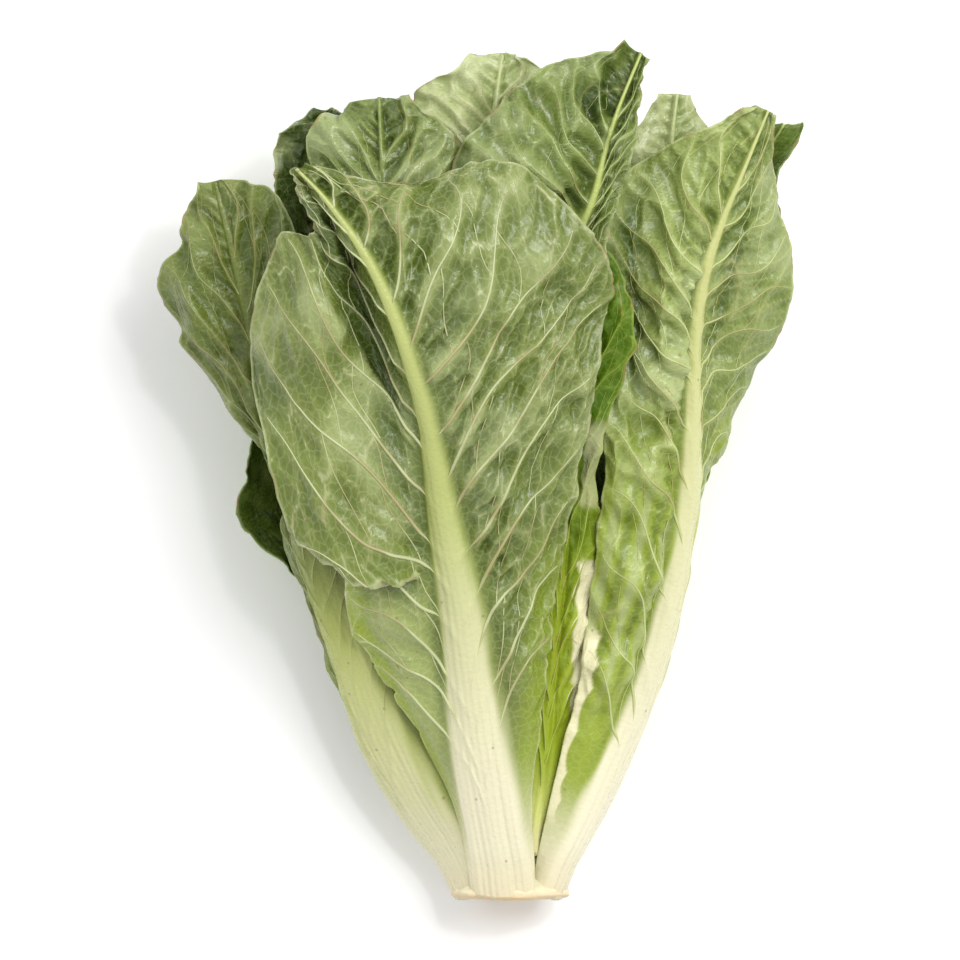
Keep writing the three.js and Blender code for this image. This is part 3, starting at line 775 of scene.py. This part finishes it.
def shell_faces(across, along):
    """The faces of a closed shell: its back, then its front, then the strips round its edge."""
    wide = across + 1
    count = wide * (along + 1)
    a = (np.arange(along)[:, None] * wide + np.arange(across)[None, :]).ravel()
    back = np.stack([a, a + 1, a + 1 + wide, a + wide], axis=1)
    foot = np.arange(across)
    tip = foot + along * wide
    port = np.arange(along) * wide
    star = port + across
    strips = [(foot + 1, foot), (tip, tip + 1), (port, port + wide), (star + wide, star)]
    rims = [np.stack([a, b, b + count, a + count], axis=1) for a, b in strips]
    return np.concatenate([back, back[:, ::-1] + count, *rims])


def add_layers(mesh, painted, maps, back_faces):
    """Painted values for each point of a face of the shell, and maps for each corner."""
    for label, value in painted.items():
        layer = mesh.attributes.new(label, "FLOAT", "POINT")
        layer.data.foreach_set("value", np.tile(value.ravel(), 2))
    layer = mesh.attributes.new("inside", "FLOAT", "POINT")
    layer.data.foreach_set("value", np.repeat([0.0, 1.0], len(mesh.vertices) // 2))
    loops = np.empty(len(mesh.loops), int)
    mesh.loops.foreach_get("vertex_index", loops)
    for label, value in maps.items():
        corners = np.tile(np.stack(value, axis=-1).reshape(-1, 2), (2, 1))[loops]
        if label == "leaf_unit":
            corners[4 * back_faces :, 0] += 2  # only the back has the unit square, for the veins
        layer = mesh.uv_layers.new(name=label)
        layer.data.foreach_set("uv", corners.ravel())


def grow_leaf(
    name, surface, size, skin, seed, rib, rib_depth, rib_sides=(1, 1), fade=0,
    fading=(0.25, 0.6), notch=1.2, puff=(1, 1), quilt=0.6, bites=(), marks=None, veins=26,
    vein_radius=0.8,
):
    """Makes one leaf as a closed blade on a grid of size[0] by size[1] cells, with its veins."""
    across, along = size
    flat_u = np.linspace(-1, 1, across + 1)
    flat_u = flat_u - COLUMN_CROWDING * np.sin(2 * np.pi * flat_u) / np.pi
    flat_u, v = np.meshgrid(flat_u, np.linspace(0, 1, along + 1))
    far, length = measured(surface(flat_u, v))
    u = notched(flat_u, v, far, length, seed, notch, bites)
    share = np.abs(u)
    s = far - far[:, [across // 2]]
    reach = np.abs(s)
    half_rib = (rib * (1 - v) ** 1.5 + 0.5) * np.where(u < 0, *rib_sides)
    near = reach / half_rib
    points, out = seated(surface(u, v), s, half_rib)

    lane, ridge = vein_lanes(u, v, length, seed, veins)
    clear = smooth(near, 0.9, 2.2) * smooth(v, 0.08, 0.3)
    puffed, broad, large = quilted(u, s, length, lane, seed, quilt, veins)
    puffed = np.where(u < 0, *puff) * clear * puffed

    # the rib: a broad rounded back with shallow grooves, thinning towards the tip
    rounded = np.clip(1 - (near / RIB_EDGE) ** 2, 0, 1) ** 1.3
    depth = rib_depth * (1 - v) ** 1.2 + 0.25
    strands = s * 2 * np.pi / GROOVE_WIDTH + 0.6 * mottle(s / 3, length / 30, seed + 31)
    grooves = GROOVE_DEPTH * np.cos(strands) * (1 - v)
    seam = hump(near, SEAM_PLACE, SEAM_WIDTH) * (1 - v) * smooth(v, 0.08, 0.3)
    back = (depth + grooves) * rounded - SEAM_DEPTH * seam

    # how far each place lies below its surroundings, for painted shade: a deeper green is painted
    # into hollows and creases, and between the veins beside the rib on its right half
    hollow = np.sum((softened(points, HOLLOW_WINDOW) - points) * out, axis=-1) / DEEP_HOLLOW
    beside_rib = (1 - smooth(share, 0.15, 0.75)) * (u > 0)
    hollow = np.maximum(hollow, 0.6 * clear * smooth(lane, 0.6, 4) * beside_rib)
    points[..., 1] -= FOOT_DROP * (1 - smooth(v, 0, 0.03))

    thick = BLADE_THICK - MARGIN_THINNING * smooth(share, 0.7, 1)
    outer = points + out * (thick / 2 + back + puffed + RIDGE_ON_BACK * ridge)[..., None]
    inner = points + out * (-thick / 2 + puffed + RIDGE_ON_FRONT * ridge)[..., None]
    shell = np.concatenate([outer.reshape(-1, 3), inner.reshape(-1, 3)])
    shell[:, 2] = np.maximum(shell[:, 2], 0)
    leaf = new_piece(name + "_blade", shell, shell_faces(across, along).tolist(), skin)

    streaks = 0.12 * mottle(s / 2.2, length / 16, seed + 33)
    rib_from, rib_to = np.where(u < 0, 0.8, 0.62), np.where(u < 0, 1.12, 1.25)
    on_rib = 1 - smooth(near + streaks, rib_from, rib_to)
    # the swell mask is painted highlight on the tops of small swellings and painted shade in the
    # dips
    raised = puffed - softened(puffed[..., None], SWELL_WINDOW)[..., 0]
    painted = {
        "rib": on_rib * (1 - fade * smooth(v, *fading)),
        "lane": np.clip(0.2 + lane / (LANE_WIDTH - LANE_NARROWING * share), 0, 1),
        "up": v,
        "edge": np.clip(np.minimum(np.abs(far), np.abs(far[:, -1:] - far)) / EDGE_BAND, 0, 1),
        # painted shade in hollows, and a painted shadow along the groove left of the rib
        "hollow": np.clip(np.maximum(hollow, 0.7 * seam * (u < 0)), 0, 1),
        "swell": np.clip(raised / FULL_SWELL, -1, 1),
        # wax bloom with a painted sheen on the broad swellings, higher up the leaf
        "bloom": smooth(broad, -0.1, 0.8) * smooth(v, 0.3, 0.55) * clear,
        "net": np.maximum(large / 0.6, 1 - clear),
    }
    for label, value in marks(u, v, points[..., 1]).items() if marks else ():
        merged = np.minimum if label == "edge" else np.maximum
        painted[label] = merged(painted.get(label, 0), value)
    maps = {
        "leaf_map": (s / 10 + 20 + seed, length / 10),
        "leaf_unit": (flat_u / 2 + 0.5, v),
    }
    add_layers(leaf.data, painted, maps, across * along)
    if veins:
        sizes = {"Count": veins, "Seed": float(seed), "Radius": vein_radius * MM}
        with_veins(leaf, Rib=VEIN_ROOT, Skin=skin, **sizes)
    layers = leaf.data.uv_layers
    layers.remove(layers["leaf_unit"])  # only the veins need it
    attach(leaf, "root")
    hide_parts(name)


# ---------------- heart
# The young leaves in the middle of the head, of pale, crisp tissue. Each curls round the head's
# axis in a shell of its own, and grows a golden angle on from the last and a little higher up.

HEART_LEAVES = 8
GOLDEN_ANGLE = 137.5
FIRST_ANGLE = 40
HEART_GAP = 2.4
HEART_BASE, BASE_STEP = -110, 7.8
HEART_TIP, TIP_STEP = 112, 9
SHELL_FOOT, SHELL_BULGE, SHELL_NECK = 11, 19, 11  # a radius, then what is added and taken away
HALF_WRAP, WRAP_MORE, WRAP_LESS = 34, 52, 62  # degrees, in the same way
SHELL_FLATNESS = 0.8  # height over width
CORNER_DROP = 9


def heart_radius(y):
    return SHELL_FOOT + SHELL_BULGE * smooth(y, -128, 30) - SHELL_NECK * smooth(y, 50, 128)


def shelled(number):
    base, tip = HEART_BASE + BASE_STEP * number, HEART_TIP - TIP_STEP * number

    def surface(u, v):
        wrap = HALF_WRAP + WRAP_MORE * smooth(v, 0.05, 0.5) - WRAP_LESS * smooth(v, 0.72, 1) ** 1.4
        y = base + (tip - base) * v - CORNER_DROP * u * u * smooth(v, 0.6, 1)
        angle = np.radians(FIRST_ANGLE + GOLDEN_ANGLE * number - u * wrap)
        r = heart_radius(y) - HEART_GAP * number
        cx, cz = axis_at(y)
        x, z = cx + r * np.cos(angle), cz + SHELL_FLATNESS * r * np.sin(angle)
        return np.stack([x, y, z], axis=-1)

    return surface


for number in range(HEART_LEAVES):
    grow_leaf(
        f"heart_leaf_{number + 1}", shelled(number), (34, 80 - 5 * number), HEART_SKIN,
        seed=40 + number, rib=5 - 0.3 * number, rib_depth=1,
        notch=0.5, puff=(0.4, 0.4), veins=0,
    )


# ---------------- inner leaf on the right
# A young leaf on the right side of the heart, of thin, pale tissue, and mostly hidden. It grows
# from the core, held between the outer leaves above and below it.

# rows from the base up, each with x, y and z of the left margin, the rib and the right margin
lines = [
    22, -118, 22.5,  21.5, -118, 20,  21.5, -118, 16,
    38, -85, 24.5,  36, -85, 20,  33, -85, 13.5,
    53, -40, 30,  51, -40, 23,  42, -40, 13,
    66, 10, 41,  63, 10, 30,  48, 10, 17,
    77, 60, 54,  70, 60, 43,  52, 60, 30,
    82, 95, 64,  72, 100, 58,  57, 100, 48,
    73, 121, 67,  70, 122, 66,  67, 121, 65,
]
grow_leaf(
    "leaf_side_right", stretched(lines, bow=(2, 2), waves=(1, 4, 1.6)), (52, 92), INNER_SKIN,
    seed=11, rib=3.5, rib_depth=1.4, veins=14, vein_radius=0.4,
)

# ---------------- inner leaf on the left
# Its partner on the left side of the heart, just as thin but darker. It grows from the same
# height on the core, and its ruffled tip shows behind the upper left leaf.

lines = [
    -1, -118, 15.5,  -3, -118, 20,  -3, -118, 25,
    -14, -85, 13,  -20, -85, 21,  -21, -85, 29,
    -24, -40, 14,  -36, -40, 25,  -38, -40, 37,
    -34, 10, 18,  -49, 10, 34,  -52, 10, 49,
    -40, 60, 31,  -58, 60, 46,  -66, 60, 60,
    -46, 92, 47,  -61, 92, 57,  -69, 92, 64,
    -44, 112, 59,  -57, 112, 64,  -67.5, 113, 66,
    -46, 122, 68,  -50, 122.5, 68,  -56, 120, 67,
]
grow_leaf(
    "leaf_side_left", stretched(lines, bow=(2, 2), waves=(1, 4, 2.4)), (52, 92), UPPER_SKIN,
    seed=12, rib=3.5, rib_depth=1.4, fade=1, notch=2.0, quilt=1.0, puff=(1.2, 1.2),
    veins=14, vein_radius=0.4,
)

# ---------------- top leaf
# A middle leaf of thin, pale tissue with a slender rib. It grows from high on the core, behind
# the others, and shows its rounded, ruffled tip at the top of the head.

lines = [
    5, -108, 37,  8, -108, 37.3,  11, -108, 37,
    -3, -70, 47.5,  4, -70, 49,  10, -70, 49,
    -11, -20, 62,  1, -20, 66,  11, -20, 66,
    -19, 30, 73,  0, 30, 78.5,  14, 30, 78,
    -25, 75, 79,  2, 75, 83,  20, 75, 80,
    -26, 112, 81,  4, 106, 84,  29, 106, 81,
    -22, 127, 80,  5, 124, 83,  30, 126, 81,
    -2, 138.5, 80,  7, 140.3, 80,  14, 139.5, 80,
]
grow_leaf(
    "leaf_top", stretched(lines, bow=(3, 3), waves=(1.8, 4, 1.9)), (72, 136), INNER_SKIN,
    seed=13, rib=3, rib_depth=0.8, fade=0.9, notch=1.8, quilt=0.8, puff=(1.4, 1.4),
    vein_radius=0.4,
)

# ---------------- leaf in the slot
# A young leaf of tender, yellow-green tissue between the front and the right leaf, grown from
# the core below them. Its right margin rolls out over its neighbour, and lower down it is torn.

lines = [
    12.5, -125, 34,  16, -125, 33,  19, -124, 31,
    13.5, -97, 40.5,  20, -95, 38.5,  28, -96, 35,
    14, -62, 51,  23, -62, 48,  35, -66, 43,
    17, -22, 64,  27, -24, 61,  39.5, -28, 54.5,
    20, 20, 78,  29, 14, 74,  39, 4, 72,
    23, 45, 84,  34, 45, 83,  51, 42, 88,
    25, 66, 87,  35, 66, 86,  48.5, 64, 90.5,
    28, 82, 87,  33, 82, 86,  36, 81, 88.5,
]


def slot_marks(u, v, y):
    """Where the skin is torn off along the right margin, up to a scalloped line."""
    scallop = 0.07 * np.abs(np.sin(y / 3.1 + np.sin(y / 11))) + 0.05 * np.sin(y / 7.3)
    line = np.where(y > -15, 0.42, 0.24 + 0.0075 * (-28 - y)) + scallop
    lower = smooth(y, -118, -110) * (1 - smooth(y, -29, -27))
    upper = smooth(y, -11, -9) * (1 - smooth(y, 16, 20))
    return {"torn": smooth(u, line, line + 0.05) * np.maximum(lower, 0.35 * upper)}


grow_leaf(
    "leaf_slot", stretched(lines, bow=(2, 2), waves=(1, 4, 0.9)), (72, 170), SLOT_SKIN,
    seed=14, rib=2.5, rib_depth=1, fade=1, fading=(0, 0.15), marks=slot_marks,
    notch=2.2, veins=18, vein_radius=0.45,
)

# ---------------- top right leaf
# A rounded leaf of thin, pale tissue. It grows from the right of the core, behind the right
# outer leaf, and only its tip stands clear.

lines = [
    21, -118, 28.5,  22, -118, 26.5,  22, -118, 24,
    29, -85, 36,  36, -85, 33,  39, -85, 27,
    35, -40, 46,  47, -40, 42,  53, -40, 34,
    43, 10, 60,  55, 10, 56,  66, 10, 45,
    47, 60, 71,  60, 60, 67,  76, 60, 58,
    48, 92, 75,  62, 90, 73,  80, 90, 67,
    50, 112, 77,  63, 111, 76,  80, 108, 71,
    59.5, 126, 77,  65, 127, 76.5,  70.5, 125.5, 75.5,
]
grow_leaf(
    "leaf_top_right", stretched(lines, bow=(3, 3), waves=(1.5, 4, 0.7)), (56, 120), INNER_SKIN,
    seed=15, rib=3.5, rib_depth=1.2, fade=0.8, quilt=0.8, veins=18, vein_radius=0.4,
)

# ---------------- upper left leaf
# A middle leaf of broad, darker green tissue. It grows from the core behind the front leaf, and
# its left side is folded back.

lines = [
    0, -118, 35,  3, -118, 37,  5.5, -118, 38,
    -14, -90, 36,  -5, -90, 44.5,  1, -90, 47.5,
    -26, -50, 44,  -13, -50, 56,  -3, -50, 60,
    -40, 0, 59,  -22, 0, 70,  -8, 0, 76,
    -50, 45, 73,  -29, 45, 82,  -11, 45, 87,
    -55, 80, 77,  -31, 80, 88,  -10, 78, 91,
    -57, 110, 80,  -33, 104, 90,  -7, 108, 92,
    -44, 124, 86,  -34, 125.5, 88,  -24, 125, 89,
]
grow_leaf(
    "leaf_upper_left", stretched(lines, bow=(4, 3), waves=(1.8, 4, 2.9)), (88, 160), UPPER_SKIN,
    seed=16, rib=4, rib_depth=1.4, fade=0.9, notch=1.6, quilt=0.8, puff=(1.4, 1.3),
    bites=[(-1, 0.86, 8, 3)], vein_radius=0.5,
)

# ---------------- crown leaf
# The middle leaf that stands highest, of firm green tissue, grown from the front of the core.
# Its rib runs out into the pointed tip of the head, and its left half is broad and swollen.

lines = [
    8, -118, 39,  11, -118, 38.5,  13.5, -118, 38,
    5, -90, 48.5,  11, -90, 47.5,  15.5, -90, 46.5,
    1, -50, 62,  12, -50, 60,  18, -50, 57.5,
    -5, 0, 79,  17, 0, 75.5,  26, 0, 73.5,
    -8, 45, 91.5,  24, 45, 87.5,  34, 45, 86,
    -9, 80, 96,  32, 77, 93,  41, 78, 91,
    -7, 107, 98,  38, 92, 95,  46, 92, 93,
    6, 123.5, 98,  42, 108, 96,  49, 103, 95,
    24, 136.5, 96,  46, 122, 96,  53, 118, 95,
    47, 142.2, 95,  53, 140, 94,  55, 138, 94,
]
folds = [
    (-0.4, 0.72, 0.3, 0.16, 4, 0.4),
    (-0.3, 0.88, 0.3, 0.12, -4, 0),
]
grow_leaf(
    "leaf_crown", stretched(lines, bow=(4, 2), waves=(1.8, 4, 0.2), folds=folds), (90, 170),
    UPPER_SKIN, seed=17, rib=4, rib_depth=2, notch=1.6, quilt=0.8, puff=(2.2, 1.5),
    vein_radius=0.5,
)

# ---------------- leaf underneath
# An outer leaf of pale tissue in the middle of the underside, grown from the core's back. The
# weight of the head presses it flat along its rib.

lines = [
    14.5, -136.3, 7.5,  9.5, -136.3, 5,  4, -136.3, 7.5,
    20, -105, 8.5,  8, -105, 3.3,  -3, -105, 9.5,
    26, -65, 9.5,  7, -65, 5.5,  -11, -65, 10,
    33, -20, 12,  6, -20, 9,  -20, -20, 11.5,
    40, 25, 16,  6, 25, 13,  -30, 25, 17,
    34, 72, 28,  5, 70, 24,  -26, 72, 28,
    10, 109, 45,  4, 108, 44,  -2, 109, 45,
]
grow_leaf(
    "leaf_under", stretched(lines, bow=(1, 1), waves=(1.2, 4, 2.2)), (64, 108), INNER_SKIN,
    seed=18, rib=7, rib_depth=4, vein_radius=0.7,
)

# ---------------- under right leaf
# An outer leaf of thick, dark green tissue that the head lies on. It grows from low on the
# core, and its tip stands out behind the right outer leaf.

lines = [
    23, -136.3, 16,  21.5, -136.3, 11.5,  17, -136.3, 8.5,
    35, -106, 20,  34, -105, 7.5,  20, -105, 5.5,
    51, -68, 26,  48, -65, 5,  26, -65, 5,
    66, -22, 33,  60, -20, 4.6,  30, -20, 4.5,
    82, 20, 41,  68, 28, 1.5,  38, 25, 5,
    97, 70, 56,  80, 70, 16,  52, 75, 16,
    99.5, 96, 60,  89, 96, 40,  70, 100, 40,
    106.5, 116.5, 63,  101, 117, 60,  94, 117, 57,
]
grow_leaf(
    "leaf_under_right", stretched(lines, bow=(4, 3), waves=(2, 4, 1.4)), (76, 124), DARK_SKIN,
    seed=19, rib=8, rib_depth=4.5, vein_radius=0.7,
)

# ---------------- under left leaf
# Its partner on the left, of the same thick, dark tissue. The head lies on it too, and its
# ruffled margin shows low on the left.

lines = [
    0, -136.3, 9.5,  -3, -136.3, 12,  -5.5, -136.3, 17,
    -6, -108, 6.5,  -15, -108, 8.5,  -20, -108, 17,
    -10, -75, 5.5,  -26, -75, 6,  -33, -78, 22,
    -14, -48, 5,  -35, -48, 4.5,  -42, -54, 26,
    -17, -28, 4.5,  -42, -28, 3.4,  -61, -36, 26,
    -20, -2, 4.5,  -47, -2, 3.2,  -81, -15, 30,
    -24, 28, 5,  -50, 30, 1.5,  -76, 12, 36,
    -28, 70, 14,  -54, 70, 14,  -78, 70, 46,
    -45, 112, 46,  -52, 112, 48,  -60, 111, 52,
]
grow_leaf(
    "leaf_under_left", stretched(lines, bow=(3, 4), waves=(2.4, 5, 0.5)), (76, 124), DARK_SKIN,
    seed=20, rib=8, rib_depth=4.5, vein_radius=0.7,
)

# ---------------- left outer leaf
# A broad outer leaf of thick, waxy tissue, grown from low on the core. Its cream rib runs up
# the left side of the head, and its margin is ruffled and lobed.

lines = [
    -6.5, -136.3, 17,  -6.5, -136.3, 24,  1, -136.3, 30.5,
    -25, -112, 16,  -21.5, -115, 27,  -6, -112, 36.5,
    -40, -88, 20,  -34.5, -88, 32,  -15, -85, 42.5,
    -49, -63, 26,  -44.5, -58, 39,  -26, -57, 50,
    -57, -42, 31,  -51, -41, 44,  -32, -38, 56,
    -63, -23, 36,  -57, -26, 48,  -38, -22, 61,
    -68, -1, 41,  -64, -5, 52,  -46, 0, 66,
    -87, 27.5, 46,  -71, 24, 57,  -50, 30, 70,
    -108.5, 59, 52.5,  -78, 55, 62,  -55, 62, 73,
    -100, 82, 59,  -84, 78, 65,  -68, 93, 70,
    -94, 97, 65,  -89, 98, 66,  -85, 99, 66,
]
folds = [
    (-0.5, 0.62, 0.3, 0.16, -6, 0),
    (-0.55, 0.8, 0.3, 0.14, 5, 0),
]
grow_leaf(
    "leaf_left", stretched(lines, bow=(5, 4), waves=(2.2, 5, 2.3), folds=folds), (108, 200),
    LEFT_SKIN, seed=21, rib=14, rib_depth=5.5, fade=0.9, rib_sides=(0.9, 1.5),
    notch=1.6, puff=(0.9, 0.7), bites=[(-1, 0.79, 7, 5), (-1, 0.9, 6, 2)], vein_radius=0.6,
)

# ---------------- right outer leaf
# The outer leaf on the right, of thick, waxy tissue, grown from low on the core. Its rib is the
# head's right outline, and its left half is swollen like a pillow near the top.

lines = [
    16.5, -137, 30.5,  23, -136.3, 26,  24.5, -136.3, 17,
    24, -104, 39,  36, -108, 30,  41, -108, 19,
    30, -78, 46.5,  50, -75, 38,  55, -75, 25,
    35, -50, 56.5,  60, -42, 50,  66, -42, 33,
    38.5, -15, 67,  67, -8, 61,  71, -8, 42,
    40, 14, 73,  69, 20, 70,  80, 8, 48,
    41, 40, 77,  70, 45, 77,  88, 27, 55,
    39, 68, 81,  73, 65, 82,  100, 48, 64,
    42, 92, 84,  79, 83, 86,  103, 71, 72,
    62, 110, 89,  86, 99, 90,  97, 95, 81,
    91, 122, 92,  95, 121, 92,  97, 119, 91,
]
folds = [
    (-0.66, 0.66, 0.3, 0.3, -7, -0.3),
    (-0.3, 0.74, 0.26, 0.26, 3, 0),
    (0.3, 0.72, 0.3, 0.3, -5, 0),
]


def right_marks(u, v, y):
    """The lower left of this leaf, shaded by the front leaf, is yellow-green with a torn rim.
    Painted shade darkens the valley by the left margin, the right half and dark stripes low on
    the left, and the pale stripes between have a painted sheen.
    """
    scallop = 0.05 * np.abs(np.sin(y / 3.4 + np.sin(y / 9))) + 0.03 * np.sin(y / 8.1)
    low = smooth(y, -120, -110) * (1 - smooth(y, -56, -48))
    young = 1.7 * smooth(v, 0.03, 0.12) * (1 - smooth(v, 0.35, 0.55)) * (u < 0)
    fresh = 2 * smooth(u, 0.35, 0.8) * hump(y, 12, 20)
    # painted shade in the valley by the left margin
    valley = 0.65 * smooth(-u, 0.55, 0.85) * hump(v, 0.7, 0.15)
    # stripes low on the left: painted shade on the dark ones, a painted sheen on the pale ones
    streaks = np.sin(17 * u - 30 * v + 1.6 * np.sin(9 * v + 4 * u))
    streaks = streaks * smooth(-u, 0.1, 0.3) * hump(v, 0.33, 0.2)
    return {
        "young": np.maximum(young, fresh) * (1 - 0.5 * smooth(-streaks, 0, 0.8)),
        "torn": smooth(-u, 0.84 + scallop, 0.87 + scallop) * low,
        # painted shade in the valley and dark stripes, and over the right half
        "hollow": np.maximum(valley, 0.5 * smooth(streaks, 0, 0.9)) + 0.28 * smooth(u, 0.1, 0.4),
        "bloom": 0.9 * smooth(-streaks, 0, 0.9),
    }


grow_leaf(
    "leaf_right", stretched(lines, bow=(7, 5), waves=(1.6, 4, 1.1), folds=folds), (122, 224),
    RIGHT_SKIN, seed=22, rib=15, rib_depth=6, rib_sides=(0.62, 1), marks=right_marks,
    notch=0.5, puff=(1.6, 0.6), quilt=0.8, vein_radius=0.7,
)

# ---------------- front leaf
# The biggest leaf, of thick, waxy tissue, grown from low on the core over the front of the head.
# Its rib is the thickest. Left of it the blade dips into a groove and swells into a broad lobe.

lines = [
    -3, -136.4, 31,  8, -136.4, 35.5,  18, -136.4, 34,
    -11, -106, 40,  3, -108, 47,  17, -105, 44,
    -30, -73, 48,  -2, -75, 58.5,  21.5, -71, 54,
    -45, -49, 58,  -7, -41, 72,  27, -35, 66,
    -64, -16, 68,  -11.5, -18, 82,  32, 3, 79,
    -77, 40, 80,  -17, 12, 95,  40, 43, 91,
    -68, 78, 94,  -25.5, 40, 106,  42, 73, 98,
    -56, 80, 104,  -37, 68, 113,  10, 103, 108,
    -60, 92, 113,  -51, 90, 117,  -27, 97, 115,
    -64, 100, 117,  -61, 101, 119,  -57, 104, 118,
]
folds = [
    (-0.3, 0.7, 0.26, 0.34, -11, -0.5),
    (-0.68, 0.6, 0.32, 0.34, 5, -0.2),
    (0.45, 0.8, 0.35, 0.22, 3, 0),
]
FRONT_WHOLE = stretched(lines, bow=(5, 7), waves=(1.6, 4.5, 0.4), folds=folds)
CREASE_START, CREASE_SLANT = 0.53, 3.75  # up the leaf, and how fast it then runs to the left
DIP_DEPTH = 5
BRINK, BRINK_RISE = 0.384, 0.064  # up the leaf beside the rib, and how much more at the margin
LOBE_LIFT, LOBE_DROP, BLADE_NARROWING = 6.5, 3.5, 0.26


def front_dip(u, v):
    """The groove left of the rib: from the rib out to a sharp crease, where the lobe begins."""
    crease = np.maximum(-0.08 - CREASE_SLANT * (v - CREASE_START), -1.3)
    t = u / np.minimum(crease, -0.02)
    across = smooth(t, 0.02, 0.4) * (1 - smooth(t, 0.8, 1.02))
    return across * smooth(v, 0.52, 0.62) * (1 - smooth(v, 0.88, 0.98))


def front_brink(u):
    return BRINK + BRINK_RISE * np.abs(u) ** 3.5 + 0.004 * np.sin(21 * u) + 0.003 * np.sin(47 * u)


def front_surface(u, v):
    """The left lobe's lower edge is torn free and laps over the narrower blade below it."""
    brink, left = front_brink(u), smooth(-u, 0.2, 0.4)
    free = smooth(v, brink - 0.004, brink + 0.004)
    points = FRONT_WHOLE(u * (1 - BLADE_NARROWING * smooth(v, 0.31, 0.42) * (1 - free) * left), v)
    points[..., 1] -= LOBE_DROP * free * (1 - smooth(v, brink, brink + 0.12)) * left
    raised = LOBE_LIFT * free * (1 - smooth(v, brink, brink + 0.14)) * left
    points[..., 2] += raised - DIP_DEPTH * front_dip(u, v)
    return points


def front_marks(u, v, y):
    """Painted shade in the groove, under the lobe and over the right half; the lobe's pale rim,
    and a light blade with a yellow-green margin below.
    """
    brink = front_brink(u)
    below = 1 - smooth(v, brink - 0.01, brink)
    under = below * smooth(-u, 0.1, 0.5) * smooth(v, 0.12, 0.2)
    shade = smooth(v, brink - 0.03, brink - 0.006) * under
    right = 2 * smooth(u, 0.5, 0.85) * smooth(v, 0.05, 0.1) * (1 - smooth(v, 0.28, 0.42))
    # painted shade over the right half, deeper low beside the rib
    right_half_shade = 0.12 * smooth(u, 0.15, 0.4) + 0.3 * smooth(u, 0.15, 0.4) * hump(v, 0.28, 0.18)
    left = 1.7 * smooth(-u, 0.7, 0.92) * smooth(v, 0.04, 0.09) * below
    return {
        "hollow": np.maximum(0.9 * front_dip(u, v), shade) + right_half_shade,
        "young": np.maximum(left + right, 0.5 * under),
        "bloom": 0.8 * under * (1 - smooth(-u, 0.7, 0.9)),
        "edge": np.where((u < -0.25) & (v > brink - 0.004), (v - brink - 0.005) * 26, 1),
    }


grow_leaf(
    "leaf_front", front_surface, (150, 270), OUTER_SKIN, seed=23, rib=13,
    rib_depth=6.5, marks=front_marks, puff=(0.6, 1.4), quilt=0.9,
    bites=[(-1, 0.9, 9, 3), (-1, 0.2, 2, 2), (-1, 0.26, 3, 2.5), (-1, 0.31, 2, 1.5)],
    vein_radius=1.0,
)
